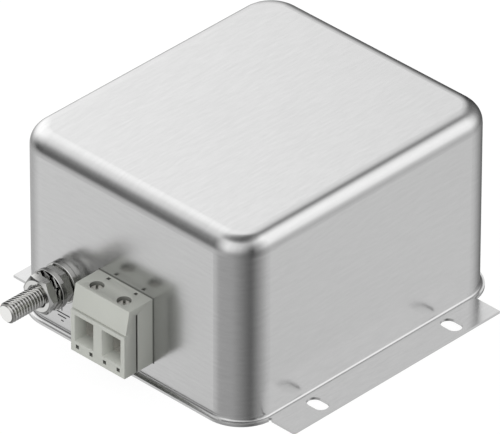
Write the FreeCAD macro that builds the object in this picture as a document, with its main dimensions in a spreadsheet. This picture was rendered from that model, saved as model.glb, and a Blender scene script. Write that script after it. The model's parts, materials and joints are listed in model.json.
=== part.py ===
"""Single-phase EMI line filter in a drawn steel can, with screw terminals and M6 earth studs.

The origin is at the middle of the mounting plane, under the can. +Z points up, away from the
mounting surface. The line terminals face -Y and the load terminals face +Y. Lengths are in
millimetres and angles in degrees.
"""
import FreeCAD
import Part
import math
import os
import re
import Sketcher

# Driving dimensions: alias, value, meaning
SIZES = (
    ("can_width", 85.0, "over the side walls, along X"),
    ("can_depth", 98.0, "over the terminal walls, along Y"),
    ("can_height", 58.0, "from the mounting plane to the top"),
    ("can_sheet", 0.8, "steel sheet of the can, its flange and its ears"),
    ("can_corner_radius", 10.6, "outside, on the vertical corners"),
    ("can_top_radius", 5.5, "outside, round the top edge"),
    ("can_foot_radius", 0.9, "between the walls and the flange"),
    ("lip_width", 1.3, "flange beyond the walls"),
    ("ear_reach", 10.15, "of an ear beyond the side wall"),
    ("ear_setback", 9.4, "from a terminal wall to the end of an ear"),
    ("ear_relief_radius", 0.45, "notch where an ear ends"),
    ("slot_reach", 5.35, "from the side wall to the middle of a slot"),
    ("slot_setback", 13.85, "from the end of an ear to the middle of a slot"),
    ("slot_width", 4.4, "for M4 screws"),
    ("slot_length", 6.6, "over its round ends, along X"),
    ("lid_sheet", 0.8, "steel sheet of the lid"),
    ("lid_recess", 0.2, "lid above the mounting plane"),
    ("lid_depth", 4.5, "over the upturned rim"),
    ("lid_bend_radius", 1.6, "outside, floor to rim"),
    ("lid_clearance", 0.05, "rim to the inside of the can"),
    ("liner_sheet", 0.4, "insulating sheet"),
    ("liner_margin", 0.4, "from the liner's edge to the lid's bend"),
    ("board_height", 4.0, "spacers, from the liner to the board"),
    ("board_side_gap", 2.2, "from a side wall to the board"),
    ("board_end_gap", 4.7, "from a terminal wall to the board"),
    ("board_thickness", 1.6, "glass-fibre laminate"),
    ("board_corner_radius", 4.0, "of the outline"),
    ("board_spacer_radius", 3.0, "of each of the four spacers"),
    ("board_spacer_inset", 6.0, "from the board's edges to a spacer's axis"),
    ("pin_length", 1.5, "of each pin below the board"),
    ("pin_clearance", 0.15, "round each pin in its hole"),
    ("terminal_offset", -0.25, "middle of the line terminals, along X"),
    ("terminal_pitch", 10.16, "between the two poles, and the width of one"),
    ("block_bottom", 6.95, "underside of the terminal housing"),
    ("block_top", 27.45, "top of the terminal housing"),
    ("block_reach", 10.84, "front face, out from the wall"),
    ("block_slant_reach", 10.34, "foot of the slanted face, out from the wall"),
    ("block_top_reach", 8.9, "head of the slanted face, out from the wall"),
    ("block_nose_top", 20.1, "top of the front face"),
    ("block_slant_foot", 20.43, "foot of the slanted face"),
    ("block_ledge_depth", 0.6, "undercut between the slanted face and the front face"),
    ("block_side_trim", 0.15, "side faces, in from the outer edges of the two poles"),
    ("block_rim_overlap", 1.5, "retaining rim round the opening in the wall"),
    ("block_rim_thickness", 1.5, "of the retaining rim"),
    ("block_clearance", 0.3, "round the housing in the wall"),
    ("entry_width", 6.95, "wire entry, along X"),
    ("entry_height", 8.4, "wire entry"),
    ("entry_floor", 10.4, "floor of the wire entry"),
    ("entry_depth", 4.3, "plastic part of the wire entry"),
    ("key_hole_size", 1.15, "square holes under the entries"),
    ("key_hole_depth", 2.5, "square holes of the housing"),
    ("key_hole_height", 8.83, "middle of the holes under the entries"),
    ("test_hole_size", 1.0, "square test holes on top"),
    ("test_hole_reach", 1.45, "test holes on top, out from the wall"),
    ("side_groove_width", 0.65, "joining groove of the housing's sides"),
    ("side_groove_depth", 1.0, "joining groove of the housing's sides"),
    ("side_groove_reach", 6.15, "joining groove, out from the wall"),
    ("side_groove_top", 25.3, "upper end of the joining groove"),
    ("funnel_radius", 2.0, "screw funnel"),
    ("funnel_reach", 5.85, "screw axis, out from the wall"),
    ("clamp_screw_drop", 1.0, "head of the screw below the top of the housing"),
    ("clamp_screw_head_radius", 1.85, "head of the clamp screw"),
    ("clamp_screw_head_height", 1.9, "head of the clamp screw"),
    ("clamp_screw_head_chamfer", 0.25, "round the head of the clamp screw"),
    ("clamp_screw_radius", 1.5, "M3 thread of the clamp screw"),
    ("clamp_screw_entry", 0.8, "tip of the screw below the ceiling of the entry"),
    ("clamp_slot_width", 0.7, "driver slot"),
    ("clamp_slot_depth", 1.0, "driver slot"),
    ("clamp_slot_turn", 44.0, "driver slot, from the Y axis"),
    ("clamp_nut_width", 7.9, "threaded block, along X"),
    ("clamp_nut_depth", 5.0, "threaded block, along Y"),
    ("clamp_nut_height", 3.0, "threaded block"),
    ("contact_sheet", 0.6, "tinned copper strip of the contact channel"),
    ("contact_clearance", 0.1, "round the contact channel and the threaded block"),
    ("contact_tail_width", 5.0, "tail of the contact, along X"),
    ("contact_tail_reach", 5.9, "tail of the contact, in from the terminal wall"),
    ("stud_offset", 23.7, "earth stud, to -X of the middle of the line side"),
    ("stud_height", 17.2, "axis of the earth stud"),
    ("stud_diameter", 6.0, "M6"),
    ("stud_length", 25.0, "under the head"),
    ("stud_tip_chamfer", 0.65, "end of the thread"),
    ("stud_head_height", 4.0, "hexagon head inside the can"),
    ("stud_hole_clearance", 0.2, "round the stud in the can, washers and strap"),
    ("thread_clearance", 0.05, "round the threads in their nuts"),
    ("hexagon_across_flats", 10.0, "M6 nuts and screw head"),
    ("nut_thickness", 2.9, "thin nuts"),
    ("nut_face_radius", 4.6, "flat face inside the chamfer"),
    ("nut_chamfer_angle", 30.0, "on the corners of the nuts"),
    ("nut_bore_chamfer", 0.4, "countersink of the nut's thread"),
    ("washer_radius", 6.0, "plain washers"),
    ("washer_edge_chamfer", 0.15, "plain washers"),
    ("washer_thickness", 1.6, "plain washers outside"),
    ("inner_washer_thickness", 1.6, "plain washer inside"),
    ("lock_washer_height", 1.2, "over the twisted teeth"),
    ("lock_washer_sheet", 0.4, "spring steel of the toothed washer"),
    ("lock_ring_radius", 4.2, "ring of the toothed washer"),
    ("lock_tooth_radius", 5.6, "over the teeth"),
    ("lock_tooth_width", 3.0, "of a tooth"),
    ("lock_tooth_count", 10, "teeth"),
    ("lock_washer_turn", 16.0, "first tooth, from the X axis"),
    ("strap_sheet", 0.8, "earth strap"),
    ("strap_width", 6.0, "earth strap, below its eye"),
    ("strap_foot_length", 4.0, "earth strap on the board"),
    ("choke_gap", 2.3, "from the windings to the X capacitors"),
    ("choke_base_setback", 1.5, "carrier's edge, in from the toroid's outside"),
    ("choke_base_thickness", 3.0, "plastic carrier of the choke"),
    ("core_section", 9.0, "toroid, from its bore to its outside"),
    ("core_height", 26.0, "toroid"),
    ("core_edge_radius", 1.5, "toroid"),
    ("wire_diameter", 2.0, "of the windings"),
    ("winding_clearance", 0.2, "windings round the toroid"),
    ("winding_angle", 150.0, "of the toroid under each winding"),
    ("winding_edge_radius", 2.0, "outside, along the winding's edges"),
    ("winding_end_angle", 55.0, "winding's pins, from the X axis"),
    ("separator_thickness", 1.6, "wall in the bore of the toroid"),
    ("separator_clearance", 0.3, "wall to the bore of the toroid"),
    ("capacitor_row", 11.0, "middle of the X capacitors, in from the board's edge"),
    ("x_capacitor_offset", 8.0, "along X"),
    ("x_capacitor_width", 26.5, "along X"),
    ("x_capacitor_depth", 10.0, "along Y"),
    ("x_capacitor_height", 19.0, "above the board"),
    ("x_capacitor_pitch", 22.5, "between its pins"),
    ("y_capacitor_offset", -17.0, "along X"),
    ("y_capacitor_width", 13.0, "along X"),
    ("y_capacitor_depth", 5.0, "along Y"),
    ("y_capacitor_height", 11.0, "above the board"),
    ("y_capacitor_pitch", 10.0, "between its pins"),
    ("y_capacitor_spacing", 6.2, "between the two, along Y"),
    ("capacitor_edge_radius", 0.6, "of the capacitor cases"),
    ("pin_radius", 0.4, "of the component pins"),
    ("resistor_offset", 26.0, "along X"),
    ("resistor_radius", 2.0, "body"),
    ("resistor_length", 9.0, "body"),
    ("resistor_pitch", 15.0, "between its pins"),
    ("resistor_lift", 0.2, "body above the board"),
)
ALIASES = {alias for alias, value, meaning in SIZES}
TOLERANCE = 0.01

# Places that several pieces share
WALL = "can_depth / 2"
INNER_WALL = "(can_depth / 2 - can_sheet)"
EAR_END = "(can_depth / 2 - ear_setback)"
LINER_UNDERSIDE = "(lid_recess + lid_sheet)"
BOARD_UNDERSIDE = "(lid_recess + lid_sheet + liner_sheet + board_height)"
BOARD_TOP = "(lid_recess + lid_sheet + liner_sheet + board_height + board_thickness)"
PIN_TIP = f"({BOARD_UNDERSIDE} - pin_length)"
ENTRY_TOP = "(entry_floor + entry_height)"
HALF_BLOCK = "(terminal_pitch - block_side_trim)"
ENTRY_END = "(can_depth / 2 + block_reach - entry_depth)"
FIRST_POLE = "(terminal_offset - terminal_pitch / 2)"
TAIL_FACE = f"({INNER_WALL} - contact_tail_reach)"
LID_HALF_WIDTH = "(can_width / 2 - can_sheet - lid_clearance)"
LID_HALF_DEPTH = "(can_depth / 2 - can_sheet - lid_clearance)"
LID_CORNER_RADIUS = "(can_corner_radius - can_sheet - lid_clearance)"
STUD_HOLE_RADIUS = "(stud_diameter / 2 + stud_hole_clearance)"
BOARD_HALF_WIDTH = "(can_width / 2 - can_sheet - board_side_gap)"
BOARD_HALF_DEPTH = f"({INNER_WALL} - board_end_gap)"
CAPACITOR_ROW = f"({BOARD_HALF_DEPTH} - capacitor_row)"
CHOKE_SEAT = f"({BOARD_TOP} + choke_base_thickness)"
WINDING_WALL = "(wire_diameter + winding_clearance)"
CORE_OUTSIDE = f"({CAPACITOR_ROW} - x_capacitor_depth / 2 - choke_gap - {WINDING_WALL})"
CORE_BORE = f"({CORE_OUTSIDE} - core_section)"
WINDING_PIN_RADIUS = f"({CORE_OUTSIDE} + winding_clearance + wire_diameter / 2)"
RESISTOR_AXIS = f"({BOARD_TOP} + resistor_lift + resistor_radius)"

SIDES = {"line": 0, "load": 180}


def formula(text):
    """Turn a formula of size names into an expression on the sheet."""
    return re.sub(r"[a-z_]+", lambda word: f"Sizes.{word[0]}" if word[0] in ALIASES else word[0], text)


def make_sheet(document):
    """Write the driving dimensions to a spreadsheet."""
    sheet = document.addObject("Spreadsheet::Sheet", "Sizes")
    for row, (alias, value, meaning) in enumerate(SIZES, 1):
        sheet.set(f"A{row}", meaning)
        sheet.set(f"B{row}", str(value))
        sheet.setAlias(f"B{row}", alias)
    document.recompute()


def new_body(document, label):
    """Add an empty body for one piece, or for a group of like pieces."""
    body = document.addObject("PartDesign::Body", label)
    body.Label = label
    return body


def origin_feature(body, role):
    """Find one of the body's own planes or axes."""
    return next(item for item in body.Origin.OriginFeatures if item.Role == role)


def new_sketch(body, name, plane, offset="0"):
    """Add an empty sketch on an origin plane, moved along the plane's normal."""
    sketch = body.newObject("Sketcher::SketchObject", name)
    sketch.AttachmentSupport = (origin_feature(body, plane), [""])
    sketch.MapMode = "FlatFace"
    sketch.setExpression("AttachmentOffset.Base.z", formula(offset))
    return sketch


def value_of(sketch, text):
    """Work out a formula now, for the first place of a sketch's geometry."""
    result = sketch.evalExpression(formula(text))
    return float(getattr(result, "Value", result))


def dimension(sketch, text, *constraint):
    """Add a dimension whose value is a formula."""
    index = sketch.addConstraint(Sketcher.Constraint(*constraint, value_of(sketch, text)))
    sketch.setExpression(f"Constraints[{index}]", formula(text))


def pin_point(sketch, item, end, across, along):
    """Tie one point of the sketch to its origin."""
    dimension(sketch, across, "DistanceX", -1, 1, item, end)
    dimension(sketch, along, "DistanceY", -1, 1, item, end)


def point_of(sketch, across, along):
    """Give the first place of a point from its two formulas."""
    return FreeCAD.Vector(value_of(sketch, across), value_of(sketch, along), 0)


def polygon(sketch, corners):
    """Draw a closed outline of straight lines through the corners."""
    points = [point_of(sketch, across, along) for across, along in corners]
    first = sketch.GeometryCount
    for number, point in enumerate(points):
        sketch.addGeometry(Part.LineSegment(point, points[(number + 1) % len(points)]))
    for number, (across, along) in enumerate(corners):
        following = first + (number + 1) % len(corners)
        sketch.addConstraint(Sketcher.Constraint("Coincident", first + number, 2, following, 1))
        pin_point(sketch, first + number, 1, across, along)


def rectangle(sketch, left, right, low, high):
    """Draw a rectangle between two columns and two rows."""
    polygon(sketch, ((left, low), (right, low), (right, high), (left, high)))


def circle(sketch, across, along, radius):
    """Draw a circle."""
    centre = point_of(sketch, across, along)
    item = sketch.addGeometry(Part.Circle(centre, FreeCAD.Vector(0, 0, 1), value_of(sketch, radius)))
    pin_point(sketch, item, 3, across, along)
    dimension(sketch, radius, "Radius", item)


def rounded_outline(sketch, centres, radius):
    """Draw equal arcs about the centres, anticlockwise, joined by tangent lines."""
    count = len(centres)
    points = [point_of(sketch, across, along) for across, along in centres]
    start_radius = value_of(sketch, radius)
    sides = [(points[(number + 1) % count] - points[number]).normalize() for number in range(count)]
    normals = [FreeCAD.Vector(side.y, -side.x, 0) for side in sides]
    first = sketch.GeometryCount
    for number, centre in enumerate(points):
        arc_start = math.atan2(normals[number - 1].y, normals[number - 1].x)
        arc_end = math.atan2(normals[number].y, normals[number].x)
        if arc_end <= arc_start:
            arc_end += 2 * math.pi
        arc = Part.Circle(centre, FreeCAD.Vector(0, 0, 1), start_radius)
        sketch.addGeometry(Part.ArcOfCircle(arc, arc_start, arc_end))
        shift = normals[number] * start_radius
        sketch.addGeometry(Part.LineSegment(centre + shift, points[(number + 1) % count] + shift))
    for number, (across, along) in enumerate(centres):
        arc = first + 2 * number
        following = first + 2 * ((number + 1) % count)
        sketch.addConstraint(Sketcher.Constraint("Tangent", arc, 2, arc + 1, 1))
        sketch.addConstraint(Sketcher.Constraint("Tangent", arc + 1, 2, following, 1))
        pin_point(sketch, arc, 3, across, along)
        if number:
            sketch.addConstraint(Sketcher.Constraint("Equal", first, arc))
    dimension(sketch, radius, "Radius", first)


def rounded_rectangle(sketch, half_width, half_depth, radius):
    """Draw a rectangle with round corners about the sketch's origin."""
    across = f"({half_width} - {radius})"
    along = f"({half_depth} - {radius})"
    corners = ((across, f"-{along}"), (across, along), (f"-{across}", along), (f"-{across}", f"-{along}"))
    rounded_outline(sketch, corners, radius)


def pad(body, sketch, length, side="One side", reverse=False):
    """Raise a sketch to a solid."""
    feature = body.newObject("PartDesign::Pad", f"{sketch.Name}Pad")
    feature.Profile = sketch
    feature.setExpression("Length", formula(length))
    feature.SideType = side
    feature.Reversed = reverse
    body.Document.recompute()
    return feature


def volume_drops(body, feature, before):
    """Stop where a cut has missed the solid."""
    body.Document.recompute()
    if body.Shape.Volume >= before:
        raise RuntimeError(f"{body.Label}: {feature.Name} cuts nothing")
    return feature


def pocket(body, sketch, length, reverse=False):
    """Cut a sketch into the solid, against the sketch's normal unless reversed."""
    before = body.Shape.Volume
    feature = body.newObject("PartDesign::Pocket", f"{sketch.Name}Pocket")
    feature.Profile = sketch
    feature.setExpression("Length", formula(length))
    feature.Reversed = reverse
    return volume_drops(body, feature, before)


def turn(body, sketch, angle="360", symmetric=False):
    """Revolve a sketch about the body's Z axis."""
    feature = body.newObject("PartDesign::Revolution", f"{sketch.Name}Turn")
    feature.Profile = sketch
    feature.ReferenceAxis = (origin_feature(body, "Z_Axis"), [""])
    feature.setExpression("Angle", formula(angle))
    feature.Midplane = symmetric
    body.Document.recompute()
    return feature


def groove(body, sketch):
    """Cut a sketch away all round the body's Z axis."""
    before = body.Shape.Volume
    feature = body.newObject("PartDesign::Groove", f"{sketch.Name}Groove")
    feature.Profile = sketch
    feature.ReferenceAxis = (origin_feature(body, "Z_Axis"), [""])
    feature.Angle = 360
    return volume_drops(body, feature, before)


def round_edges(body, name, radius, wanted):
    """Fillet the edges of the solid that the test picks."""
    base = body.Tip
    edges = [f"Edge{number}" for number, edge in enumerate(base.Shape.Edges, 1) if wanted(edge)]
    feature = body.newObject("PartDesign::Fillet", name)
    feature.Base = (base, edges)
    feature.setExpression("Radius", formula(radius))
    body.Document.recompute()
    return feature


def hollow(body, sheet, open_height):
    """Leave a wall of one sheet's thickness, open at the flat face at the given height."""
    base = body.Tip
    faces = enumerate(base.Shape.Faces, 1)
    mouth = [f"Face{number}" for number, face in faces if is_level(face.BoundBox, open_height)]
    feature = body.newObject("PartDesign::Thickness", f"{body.Name}Wall")
    feature.Base = (base, mouth)
    feature.setExpression("Value", formula(sheet))
    feature.Reversed = True
    return volume_drops(body, feature, base.Shape.Volume)


def is_level(box, height):
    """Tell whether a box is flat and lies at the given height."""
    return max(abs(box.ZMin - height), abs(box.ZMax - height)) < TOLERANCE


def edge_at_height(height, half_width, half_depth):
    """Make a test for the level edges at a height that lie within a rectangle about the axis."""
    def test(edge):
        box = edge.BoundBox
        reach_x = max(abs(box.XMin), abs(box.XMax))
        reach_y = max(abs(box.YMin), abs(box.YMax))
        inside = reach_x < half_width + TOLERANCE and reach_y < half_depth + TOLERANCE
        return inside and is_level(box, height)

    return test


def edge_above(height):
    """Make a test for the edges that reach above a height."""
    def test(edge):
        return edge.BoundBox.ZMax > height + TOLERANCE

    return test


def repeat_along_x(body, features, pitch):
    """Repeat features once more, a pitch further along X."""
    pattern = body.newObject("PartDesign::LinearPattern", f"{body.Name}Pair")
    pattern.Originals = features
    pattern.Direction = (origin_feature(body, "X_Axis"), [""])
    pattern.setExpression("Length", formula(pitch))
    pattern.Occurrences = 2
    body.Tip = pattern
    body.Document.recompute()


def place_on_side(body, side, middle, across="0", along="0", height="0", facing_out=False):
    """Place a piece by its spot on the line side, or turned about its own middle on the load side."""
    load = SIDES[side] > 0
    body.setExpression("Placement.Base.x", formula(f"2 * {middle} - ({across})" if load else across))
    body.setExpression("Placement.Base.y", formula(f"-({along})" if load else along))
    body.setExpression("Placement.Base.z", formula(height))
    about_z = FreeCAD.Rotation(FreeCAD.Vector(0, 0, 1), SIDES[side])
    outward = FreeCAD.Rotation(FreeCAD.Vector(1, 0, 0), 90 if facing_out else 0)
    placement = body.Placement
    placement.Rotation = about_z * outward
    body.Placement = placement


def make_can(document):
    """Draw the can, its foot flange and its ears from one sheet."""
    body = new_body(document, "can")
    walls = new_sketch(body, "CanOutline", "XY_Plane")
    rounded_rectangle(walls, "can_width / 2", "can_depth / 2", "can_corner_radius")
    pad(body, walls, "can_height")
    half_width = value_of(walls, "can_width / 2")
    half_depth = value_of(walls, "can_depth / 2")
    sheet = value_of(walls, "can_sheet")
    height = value_of(walls, "can_height")
    round_edges(body, "CanTopEdge", "can_top_radius", edge_at_height(height, half_width, half_depth))
    hollow(body, "can_sheet", 0)

    lip = new_sketch(body, "LipOutline", "XY_Plane")
    lip_corner = "(can_corner_radius + lip_width)"
    rounded_rectangle(lip, "(can_width / 2 + lip_width)", "(can_depth / 2 + lip_width)", lip_corner)
    inner_width = "(can_width / 2 - can_sheet)"
    rounded_rectangle(lip, inner_width, INNER_WALL, "(can_corner_radius - can_sheet)")
    pad(body, lip, "can_sheet")
    ears = new_sketch(body, "EarOutlines", "XY_Plane")
    rectangle(ears, "can_width / 2", "can_width / 2 + ear_reach", f"-{EAR_END}", EAR_END)
    rectangle(ears, "-(can_width / 2 + ear_reach)", "-can_width / 2", f"-{EAR_END}", EAR_END)
    pad(body, ears, "can_sheet")
    round_edges(body, "CanFootEdge", "can_foot_radius", edge_at_height(sheet, half_width, half_depth))
    mouth = edge_at_height(0, half_width - sheet, half_depth - sheet)
    round_edges(body, "MouthEdge", "can_foot_radius + can_sheet", mouth)

    slots = new_sketch(body, "SlotOutlines", "XY_Plane", "can_sheet")
    notches = new_sketch(body, "EarNotches", "XY_Plane", "can_sheet")
    straight = "(slot_length - slot_width) / 2"
    for side_x in ("", "-"):
        for side_y in ("", "-"):
            slot_y = f"{side_y}({EAR_END} - slot_setback)"
            slot_x = f"{side_x}(can_width / 2 + slot_reach)"
            ends = ((f"{slot_x} - {straight}", slot_y), (f"{slot_x} + {straight}", slot_y))
            rounded_outline(slots, ends, "slot_width / 2")
            notch_x = f"{side_x}(can_width / 2 + lip_width)"
            circle(notches, notch_x, f"{side_y}{EAR_END}", "ear_relief_radius")
    pocket(body, slots, "can_sheet")
    pocket(body, notches, "can_sheet")

    for side, reverse in (("line", True), ("load", False)):
        opening = new_sketch(body, f"{side}WallOpenings", "XZ_Plane")
        left = f"terminal_offset - {HALF_BLOCK} - block_clearance"
        right = f"terminal_offset + {HALF_BLOCK} + block_clearance"
        rectangle(opening, left, right, "block_bottom - block_clearance", "block_top + block_clearance")
        circle(opening, "-stud_offset", "stud_height", STUD_HOLE_RADIUS)
        pocket(body, opening, "can_depth / 2", reverse)


def make_base_cover(document):
    """Press the lid that closes the mouth of the can."""
    body = new_body(document, "base_cover")
    outline = new_sketch(body, "LidOutline", "XY_Plane", "lid_recess")
    rounded_rectangle(outline, LID_HALF_WIDTH, LID_HALF_DEPTH, LID_CORNER_RADIUS)
    pad(body, outline, "lid_depth")
    half_width = value_of(outline, LID_HALF_WIDTH)
    half_depth = value_of(outline, LID_HALF_DEPTH)
    recess = value_of(outline, "lid_recess")
    round_edges(body, "LidBend", "lid_bend_radius", edge_at_height(recess, half_width, half_depth))
    hollow(body, "lid_sheet", value_of(outline, "lid_recess + lid_depth"))


def make_insulating_sheet(document):
    """Cut the liner that lies on the lid, under the board."""
    body = new_body(document, "insulating_sheet")
    outline = new_sketch(body, "LinerOutline", "XY_Plane", LINER_UNDERSIDE)
    inset = "(lid_bend_radius + liner_margin)"
    half_width = f"({LID_HALF_WIDTH} - {inset})"
    half_depth = f"({LID_HALF_DEPTH} - {inset})"
    rounded_rectangle(outline, half_width, half_depth, f"({LID_CORNER_RADIUS} - {inset})")
    pad(body, outline, "liner_sheet")


def make_board_spacers(document):
    """Mould the four spacers that carry the board."""
    body = new_body(document, "board_spacers")
    outline = new_sketch(body, "SpacerOutlines", "XY_Plane", f"{LINER_UNDERSIDE} + liner_sheet")
    for side_x in ("", "-"):
        for side_y in ("", "-"):
            across = f"{side_x}({BOARD_HALF_WIDTH} - board_spacer_inset)"
            along = f"{side_y}({BOARD_HALF_DEPTH} - board_spacer_inset)"
            circle(outline, across, along, "board_spacer_radius")
    pad(body, outline, "board_height")


def pin_places():
    """List the component pins of both halves of the board, as pairs of formulas."""
    places = []
    for sign in ("", "-"):
        for end in ("-", "+"):
            pin_x = f"x_capacitor_offset {end} x_capacitor_pitch / 2"
            places.append((pin_x, f"{sign}{CAPACITOR_ROW}"))
            for row in ("-", "+"):
                pin_x = f"y_capacitor_offset {end} y_capacitor_pitch / 2"
                places.append((pin_x, f"{sign}({CAPACITOR_ROW} {row} y_capacitor_spacing / 2)"))
    for end in ("-", "+"):
        places.append(("resistor_offset", f"-{CAPACITOR_ROW} {end} resistor_pitch / 2"))
    return places


def winding_pin_places():
    """List the wire ends of the two windings."""
    across = f"{WINDING_PIN_RADIUS} * cos(winding_end_angle)"
    along = f"{WINDING_PIN_RADIUS} * sin(winding_end_angle)"
    return [(f"{side_x}{across}", f"{side_y}{along}") for side_x in ("", "-") for side_y in ("", "-")]


def make_circuit_board(document):
    """Cut and drill the board."""
    body = new_body(document, "circuit_board")
    outline = new_sketch(body, "BoardOutline", "XY_Plane", BOARD_UNDERSIDE)
    rounded_rectangle(outline, BOARD_HALF_WIDTH, BOARD_HALF_DEPTH, "board_corner_radius")
    pad(body, outline, "board_thickness")
    holes = new_sketch(body, "BoardHoles", "XY_Plane", BOARD_TOP)
    for across, along in pin_places():
        circle(holes, across, along, "pin_radius + pin_clearance")
    for across, along in winding_pin_places():
        circle(holes, across, along, "wire_diameter / 2 + pin_clearance")
    for sign in ("", "-"):
        for pole in ("-", "+"):
            middle = f"terminal_offset {pole} terminal_pitch / 2"
            half = "(contact_tail_width / 2 + pin_clearance)"
            face = f"{sign}({TAIL_FACE} - pin_clearance)"
            back = f"{sign}({TAIL_FACE} + contact_sheet + pin_clearance)"
            rectangle(holes, f"{middle} - {half}", f"{middle} + {half}", face, back)
    pocket(body, holes, "board_thickness")


def make_terminal_housing(document, side):
    """Mould the two-pole housing that stands through the wall."""
    body = new_body(document, f"{side}_terminal_housing")
    profile = new_sketch(body, f"{side}HousingProfile", "YZ_Plane", "terminal_offset")
    rear = f"({INNER_WALL} - block_rim_thickness)"
    corners = (
        (f"-{rear}", "block_bottom"),
        (f"-{rear}", "block_top"),
        (f"-({WALL} + block_top_reach)", "block_top"),
        (f"-({WALL} + block_slant_reach)", "block_slant_foot"),
        (f"-({WALL} + block_slant_reach - block_ledge_depth)", "block_slant_foot"),
        (f"-({WALL} + block_slant_reach - block_ledge_depth)", "block_nose_top"),
        (f"-({WALL} + block_reach)", "block_nose_top"),
        (f"-({WALL} + block_reach)", "block_bottom"),
    )
    polygon(profile, corners)
    pad(body, profile, f"2 * {HALF_BLOCK}", "Symmetric")
    rim = new_sketch(body, f"{side}HousingRim", "XZ_Plane", INNER_WALL)
    half_rim = f"({HALF_BLOCK} + block_rim_overlap)"
    low = "block_bottom - block_rim_overlap"
    high = "block_top + block_rim_overlap"
    rectangle(rim, f"terminal_offset - {half_rim}", f"terminal_offset + {half_rim}", low, high)
    pad(body, rim, "block_rim_thickness", reverse=True)

    front = f"({WALL} + block_reach)"
    entries = new_sketch(body, f"{side}WireEntries", "XZ_Plane", front)
    key_holes = new_sketch(body, f"{side}KeyHoles", "XZ_Plane", front)
    channels = new_sketch(body, f"{side}ChannelSeats", "XZ_Plane", rear)
    nut_seats = new_sketch(body, f"{side}NutSeats", "XZ_Plane", rear)
    test_holes = new_sketch(body, f"{side}TestHoles", "XY_Plane", "block_top")
    funnels = new_sketch(body, f"{side}Funnels", "XY_Plane", "block_top")
    half_channel = "(entry_width / 2 + contact_sheet + contact_clearance)"
    half_nut = "(clamp_nut_width / 2 + contact_clearance)"
    half_key = "key_hole_size / 2"
    half_test = "test_hole_size / 2"
    test_hole_y = f"-({WALL} + test_hole_reach)"
    for pole in ("-", "+"):
        middle = f"terminal_offset {pole} terminal_pitch / 2"
        left = f"{middle} - entry_width / 2"
        rectangle(entries, left, f"{middle} + entry_width / 2", "entry_floor", ENTRY_TOP)
        for end in ("-", "+"):
            key_x = f"{middle} {end} terminal_pitch / 4"
            low = f"key_hole_height - {half_key}"
            high = f"key_hole_height + {half_key}"
            rectangle(key_holes, f"{key_x} - {half_key}", f"{key_x} + {half_key}", low, high)
        low = "entry_floor - contact_sheet - contact_clearance"
        high = f"{ENTRY_TOP} + contact_clearance"
        rectangle(channels, f"{middle} - {half_channel}", f"{middle} + {half_channel}", low, high)
        high = f"{ENTRY_TOP} + clamp_nut_height + contact_clearance"
        rectangle(nut_seats, f"{middle} - {half_nut}", f"{middle} + {half_nut}", ENTRY_TOP, high)
        low = f"{test_hole_y} - {half_test}"
        high = f"{test_hole_y} + {half_test}"
        rectangle(test_holes, f"{middle} - {half_test}", f"{middle} + {half_test}", low, high)
        circle(funnels, middle, f"-({WALL} + funnel_reach)", "funnel_radius")
    pocket(body, entries, "entry_depth")
    pocket(body, key_holes, "key_hole_depth")
    pocket(body, channels, f"{ENTRY_END} - {rear}", reverse=True)
    nut_front = f"({WALL} + funnel_reach + clamp_nut_depth / 2 + contact_clearance)"
    pocket(body, nut_seats, f"{nut_front} - {rear}", reverse=True)
    pocket(body, test_holes, "key_hole_depth")
    pocket(body, funnels, f"block_top - {ENTRY_TOP} - clamp_nut_height")

    for hand, reverse in (("Left", True), ("Right", False)):
        sign = "-" if hand == "Left" else "+"
        face = f"terminal_offset {sign} {HALF_BLOCK}"
        side_groove = new_sketch(body, f"{side}Groove{hand}", "YZ_Plane", face)
        middle = f"-({WALL} + side_groove_reach)"
        front, rear = f"{middle} - side_groove_width / 2", f"{middle} + side_groove_width / 2"
        rectangle(side_groove, front, rear, "block_bottom", "side_groove_top")
        pocket(body, side_groove, "side_groove_depth", reverse)
    place_on_side(body, side, "terminal_offset")


def make_contact_bars(document, side):
    """Bend the two contact channels with their tails into the board."""
    body = new_body(document, f"{side}_contact_bars")
    front = f"({ENTRY_END} - contact_clearance)"
    profile = new_sketch(body, f"{side}ContactProfile", "YZ_Plane", FIRST_POLE)
    under = "entry_floor - contact_sheet"
    corners = (
        (f"-{front}", "entry_floor"),
        (f"-{front}", under),
        (f"-({TAIL_FACE} + contact_sheet)", under),
        (f"-({TAIL_FACE} + contact_sheet)", PIN_TIP),
        (f"-{TAIL_FACE}", PIN_TIP),
        (f"-{TAIL_FACE}", "entry_floor"),
    )
    polygon(profile, corners)
    tail = pad(body, profile, "contact_tail_width", "Symmetric")
    section = new_sketch(body, f"{side}ChannelSection", "XZ_Plane", front)
    inner = "entry_width / 2"
    outer = "(entry_width / 2 + contact_sheet)"
    corners = (
        (f"{FIRST_POLE} - {outer}", under),
        (f"{FIRST_POLE} + {outer}", under),
        (f"{FIRST_POLE} + {outer}", ENTRY_TOP),
        (f"{FIRST_POLE} + {inner}", ENTRY_TOP),
        (f"{FIRST_POLE} + {inner}", "entry_floor"),
        (f"{FIRST_POLE} - {inner}", "entry_floor"),
        (f"{FIRST_POLE} - {inner}", ENTRY_TOP),
        (f"{FIRST_POLE} - {outer}", ENTRY_TOP),
    )
    polygon(section, corners)
    channel = pad(body, section, f"{front} - {INNER_WALL}", reverse=True)
    repeat_along_x(body, [tail, channel], "terminal_pitch")
    place_on_side(body, side, "terminal_offset")


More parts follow.
